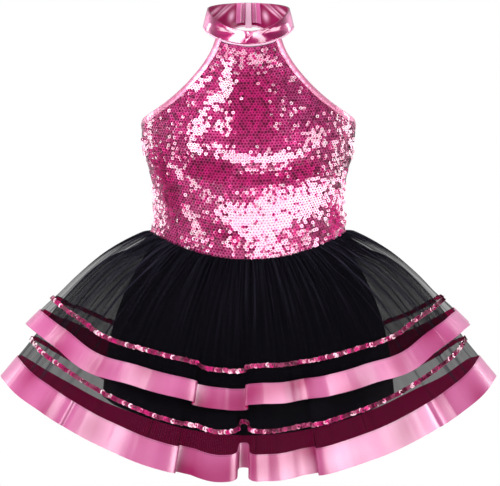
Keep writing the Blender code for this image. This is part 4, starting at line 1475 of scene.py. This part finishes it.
collar_angles = np.linspace(-180.0 + COLLAR_GAP, 180.0 - COLLAR_GAP, COLLAR_ROUND)
at, angle = grid_of(np.linspace(collar_end, TOP_FOLD, COLLAR_DOWN), collar_angles)
face = collar_point(at, angle)
out = -facing(face, closed=False)
raised, painted_highlight, painted_glint = np.zeros((3, *at.shape))
for spot in COLLAR_PAINTED_HIGHLIGHTS:
    painted_glint = np.maximum(painted_glint, spot.height * collar_reach(at, angle, spot))
for crease in COLLAR_CREASES:
    reach = collar_reach(at, angle, crease)
    raised += crease.height * reach
    # Painted highlights: the ridges of the back's creases are painted pale on the inner
    # side.
    if abs(crease.angle) > 90.0 and crease.height > 0.0:
        painted_highlight = np.maximum(painted_highlight, reach)
raised *= np.sin(np.clip(1.0 - at / collar_end, 0.0, 1.0) * math.pi) ** 0.5
outer_face = face + out * raised[..., None]
inner_face = face - out * (COLLAR_THICK - raised * THROUGH_COLLAR)[..., None]
rise = unit(face[-1] - face[-2])
half = COLLAR_THICK / 2
top, top_out = face[-1] - out[-1] * half, out[-1]
fold = np.stack([
    top + top_out * (half * math.cos(b)) + rise * (half * math.sin(b))
    for b in np.linspace(0.0, math.pi, COLLAR_BEND)[1:-1]
])
collar_grid = np.concatenate([outer_face, fold, inner_face[::-1]])[::-1]
collar_grid = np.concatenate([collar_grid, collar_grid[:1]])
magenta_foil = foil_jersey("magenta_foil_jersey", "#6a0236", "#98205e", 0.46, 1.0)
collar = cloth("stand_collar", collar_grid, False, magenta_foil, ends=True)

# The inner side is plain shiny jersey of the same dye. Its rows come first.
collar_lining, tree, shader = new_material(
    "magenta_shiny_jersey",
    {
        "Roughness": 0.4,
        "Specular IOR Level": 0.15,
        "Coat Weight": 0.25,
        "Coat Roughness": 0.15,
    },
)
on_piece = add_node(tree, "TexCoord", "Object", {}, {})
dyed = add_node(tree, "TexNoise", "Fac", {}, {
    "Vector": on_piece, "Scale": 120.0, "Detail": 2.0,
})
dyes = add_node(tree, "Mix", "Result", RGBA, {
    "Factor": dyed, "A": linear("#84023e"), "B": linear("#9c0c58"),
})
# The ridges of its creases are painted pale: painted highlights.
painted_highlight_share = add_node(tree, "Attribute", "Fac", {"attribute_name": "painted_highlight"}, {})
paled = add_node(tree, "Mix", "Result", RGBA, {
    "Factor": painted_highlight_share, "A": dyes, "B": linear("#ecb0d0"),
})
set_inputs(shader, {"Base Color": paled})
collar.data.materials.append(collar_lining)
lined = np.zeros(len(collar.data.polygons), dtype=np.int32)
lined[: (COLLAR_DOWN - 1) * (COLLAR_ROUND - 1)] = 1
collar.data.polygons.foreach_set("material_index", lined)
highlight_paint = np.zeros(collar_grid.shape[:2])
highlight_paint[:COLLAR_DOWN] = painted_highlight
outer_start = COLLAR_DOWN + len(fold)
highlight_paint[outer_start : outer_start + COLLAR_DOWN] = painted_glint[::-1]
set_points(collar, "painted_highlight", highlight_paint)
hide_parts("collar")


# Piping
# A thin cord covered in pale pink satin, sewn into the seam under the collar.
PIPING_RADIUS = 0.0008
PIPING_DROP = 0.0003
PIPING_SIDES = 10


def tube(line, radius, right, up, sides):
    """A round tube's points, a ring for each point of its line."""
    turns = np.linspace(0.0, math.tau, sides, endpoint=False)
    rings = [line + radius * (right * math.cos(t) - up * math.sin(t)) for t in turns]
    return np.stack(rings, axis=1)


edge_strip = collar_point(*grid_of(collar_end - np.array([0.0004, 0.0]), collar_angles))
lower_edge = edge_strip[1]
out = facing(edge_strip, closed=False)[1]
below = unit(np.cross(unit(np.gradient(lower_edge, axis=0)), out))
below *= -np.sign(below[..., 2:3])
middle = lower_edge - out * COLLAR_THICK / 2 + below * (PIPING_DROP + PIPING_RADIUS)
piping_satin, tree, shader = new_material(
    "pale_pink_piping",
    {
        "Base Color": linear("#eaa6c8"),
        "Roughness": 0.3,
        "Specular IOR Level": 0.7,
        "Sheen Weight": 0.2,
    },
)
on_piece = add_node(tree, "TexCoord", "Object", {}, {})
twist = add_node(tree, "TexNoise", "Fac", {}, {
    "Vector": on_piece, "Scale": 700.0, "Detail": 1.0,
})
puckers = add_node(tree, "Bump", "Normal", {}, {
    "Strength": 0.3, "Distance": 0.0002, "Height": twist,
})
set_inputs(shader, {"Normal": puckers})
cord = tube(middle, PIPING_RADIUS, out, below, PIPING_SIDES)
piping = cloth("collar_cord", cord, True, piping_satin)
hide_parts("collar_piping")


# Closure
# Inside the back of the collar: a pale tape covers the closure, and the collar's two
# ends are turned in and overlocked beside it.
STRIP_HALF_WIDTH = 0.0034
EDGE_INNER = 0.0045
EDGE_OUTER = 0.0145
EDGE_ABOVE_COLLAR = 0.0027
PATCH_DOWN, PATCH_ACROSS = 16, 8
PATCH_THICK = 0.0008
PATCH_GAP = 0.0004
TAPE_BELOW = 0.003
THREAD_RADIUS = 0.0003
THREAD_SIDES = 6
SEAM_STITCHES = 20
# Shares of a piece's width: the tape's two seams, and the overlock stitches' two edges.
TAPE_SEAMS = (("left", 0.07), ("right", 0.93))
OVERLOCK_NEAR, OVERLOCK_FAR = 0.08, 0.45
ZIGZAGS = 18
closure_pink, tree, shader = new_material(
    "pink_closure_tape",
    {"Base Color": linear("#dcaac4"), "Roughness": 0.5, "Sheen Weight": 0.2},
)
overlock_pink, tree, shader = new_material(
    "pink_turned_end",
    {"Base Color": linear("#cc5c98"), "Roughness": 0.45, "Sheen Weight": 0.2},
)
thread_pink, tree, shader = new_material(
    "pink_overlock_thread",
    {"Base Color": linear("#f2b6d2"), "Roughness": 0.5, "Sheen Weight": 0.3},
)


def inside_patch(name, start, end, below, above, material):
    """A flat piece on the inside of the collar's back, between two distances from its
    middle."""
    turns = np.linspace(start, end, PATCH_ACROSS + 1) / COLLAR_ROWS[1].half_width
    at, angle = grid_of(
        np.linspace(0.0, collar_end - above, PATCH_DOWN + 1), 180.0 + np.degrees(turns)
    )
    points = collar_point(at, angle)
    points = points - facing(points, closed=False) * (COLLAR_THICK + PATCH_GAP)
    points[..., 2] -= below * (at / collar_end) ** 3
    made = cloth(name, points, False, material, PATCH_THICK)
    return made, points


def stitches(name, patch, shares, falls):
    """A thread laid on a patch's inner face, through shares of its width at falls."""
    rows, columns = falls * PATCH_DOWN, shares * PATCH_ACROSS
    low = np.minimum(rows.astype(int), PATCH_DOWN - 1)
    left = np.minimum(columns.astype(int), PATCH_ACROSS - 1)
    down, right = (rows - low)[:, None], (columns - left)[:, None]

    def read(grid):
        top = grid[low, left] * (1 - right) + grid[low, left + 1] * right
        bottom = grid[low + 1, left] * (1 - right) + grid[low + 1, left + 1] * right
        return top * (1 - down) + bottom * down

    faces = unit(read(facing(patch, closed=False)))
    line = read(patch) - faces * (PATCH_THICK + THREAD_RADIUS * 0.6)
    across = unit(np.cross(np.gradient(line, axis=0), faces))
    thread = tube(line, THREAD_RADIUS, across, faces, THREAD_SIDES)
    made = cloth(name, thread, True, thread_pink)
    return made


tape, patch = inside_patch(
    "closure_tape", -STRIP_HALF_WIDTH, STRIP_HALF_WIDTH, TAPE_BELOW, 0.0, closure_pink
)
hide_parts("closure_strip")
seam = np.linspace(0.0, 1.0, SEAM_STITCHES)
for side, share in TAPE_SEAMS:
    stitches(f"tape_edge_{side}", patch, np.full(SEAM_STITCHES, share), seam)
# inner is the side of a turned end, 0 or 1, that lies by the tape. The overlock thread
# swings between it and a straight row of stitches.
falls = np.linspace(0.01, 0.99, 2 * ZIGZAGS + 1)
for side, start, end, inner in (
    ("left", -EDGE_OUTER, -EDGE_INNER, 1.0),
    ("right", EDGE_INNER, EDGE_OUTER, 0.0),
):
    edge, patch = inside_patch(
        f"turned_end_{side}", start, end, 0.0, EDGE_ABOVE_COLLAR, overlock_pink
    )
    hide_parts(f"closure_edge_{side}")
    outer = abs(inner - OVERLOCK_FAR)
    swings = np.where(np.arange(len(falls)) % 2, outer, abs(inner - OVERLOCK_NEAR))
    threads = [
        stitches(f"overlock_{side}", patch, swings, falls),
        stitches(f"overlock_edge_{side}", patch, np.full(SEAM_STITCHES, outer), seam),
    ]
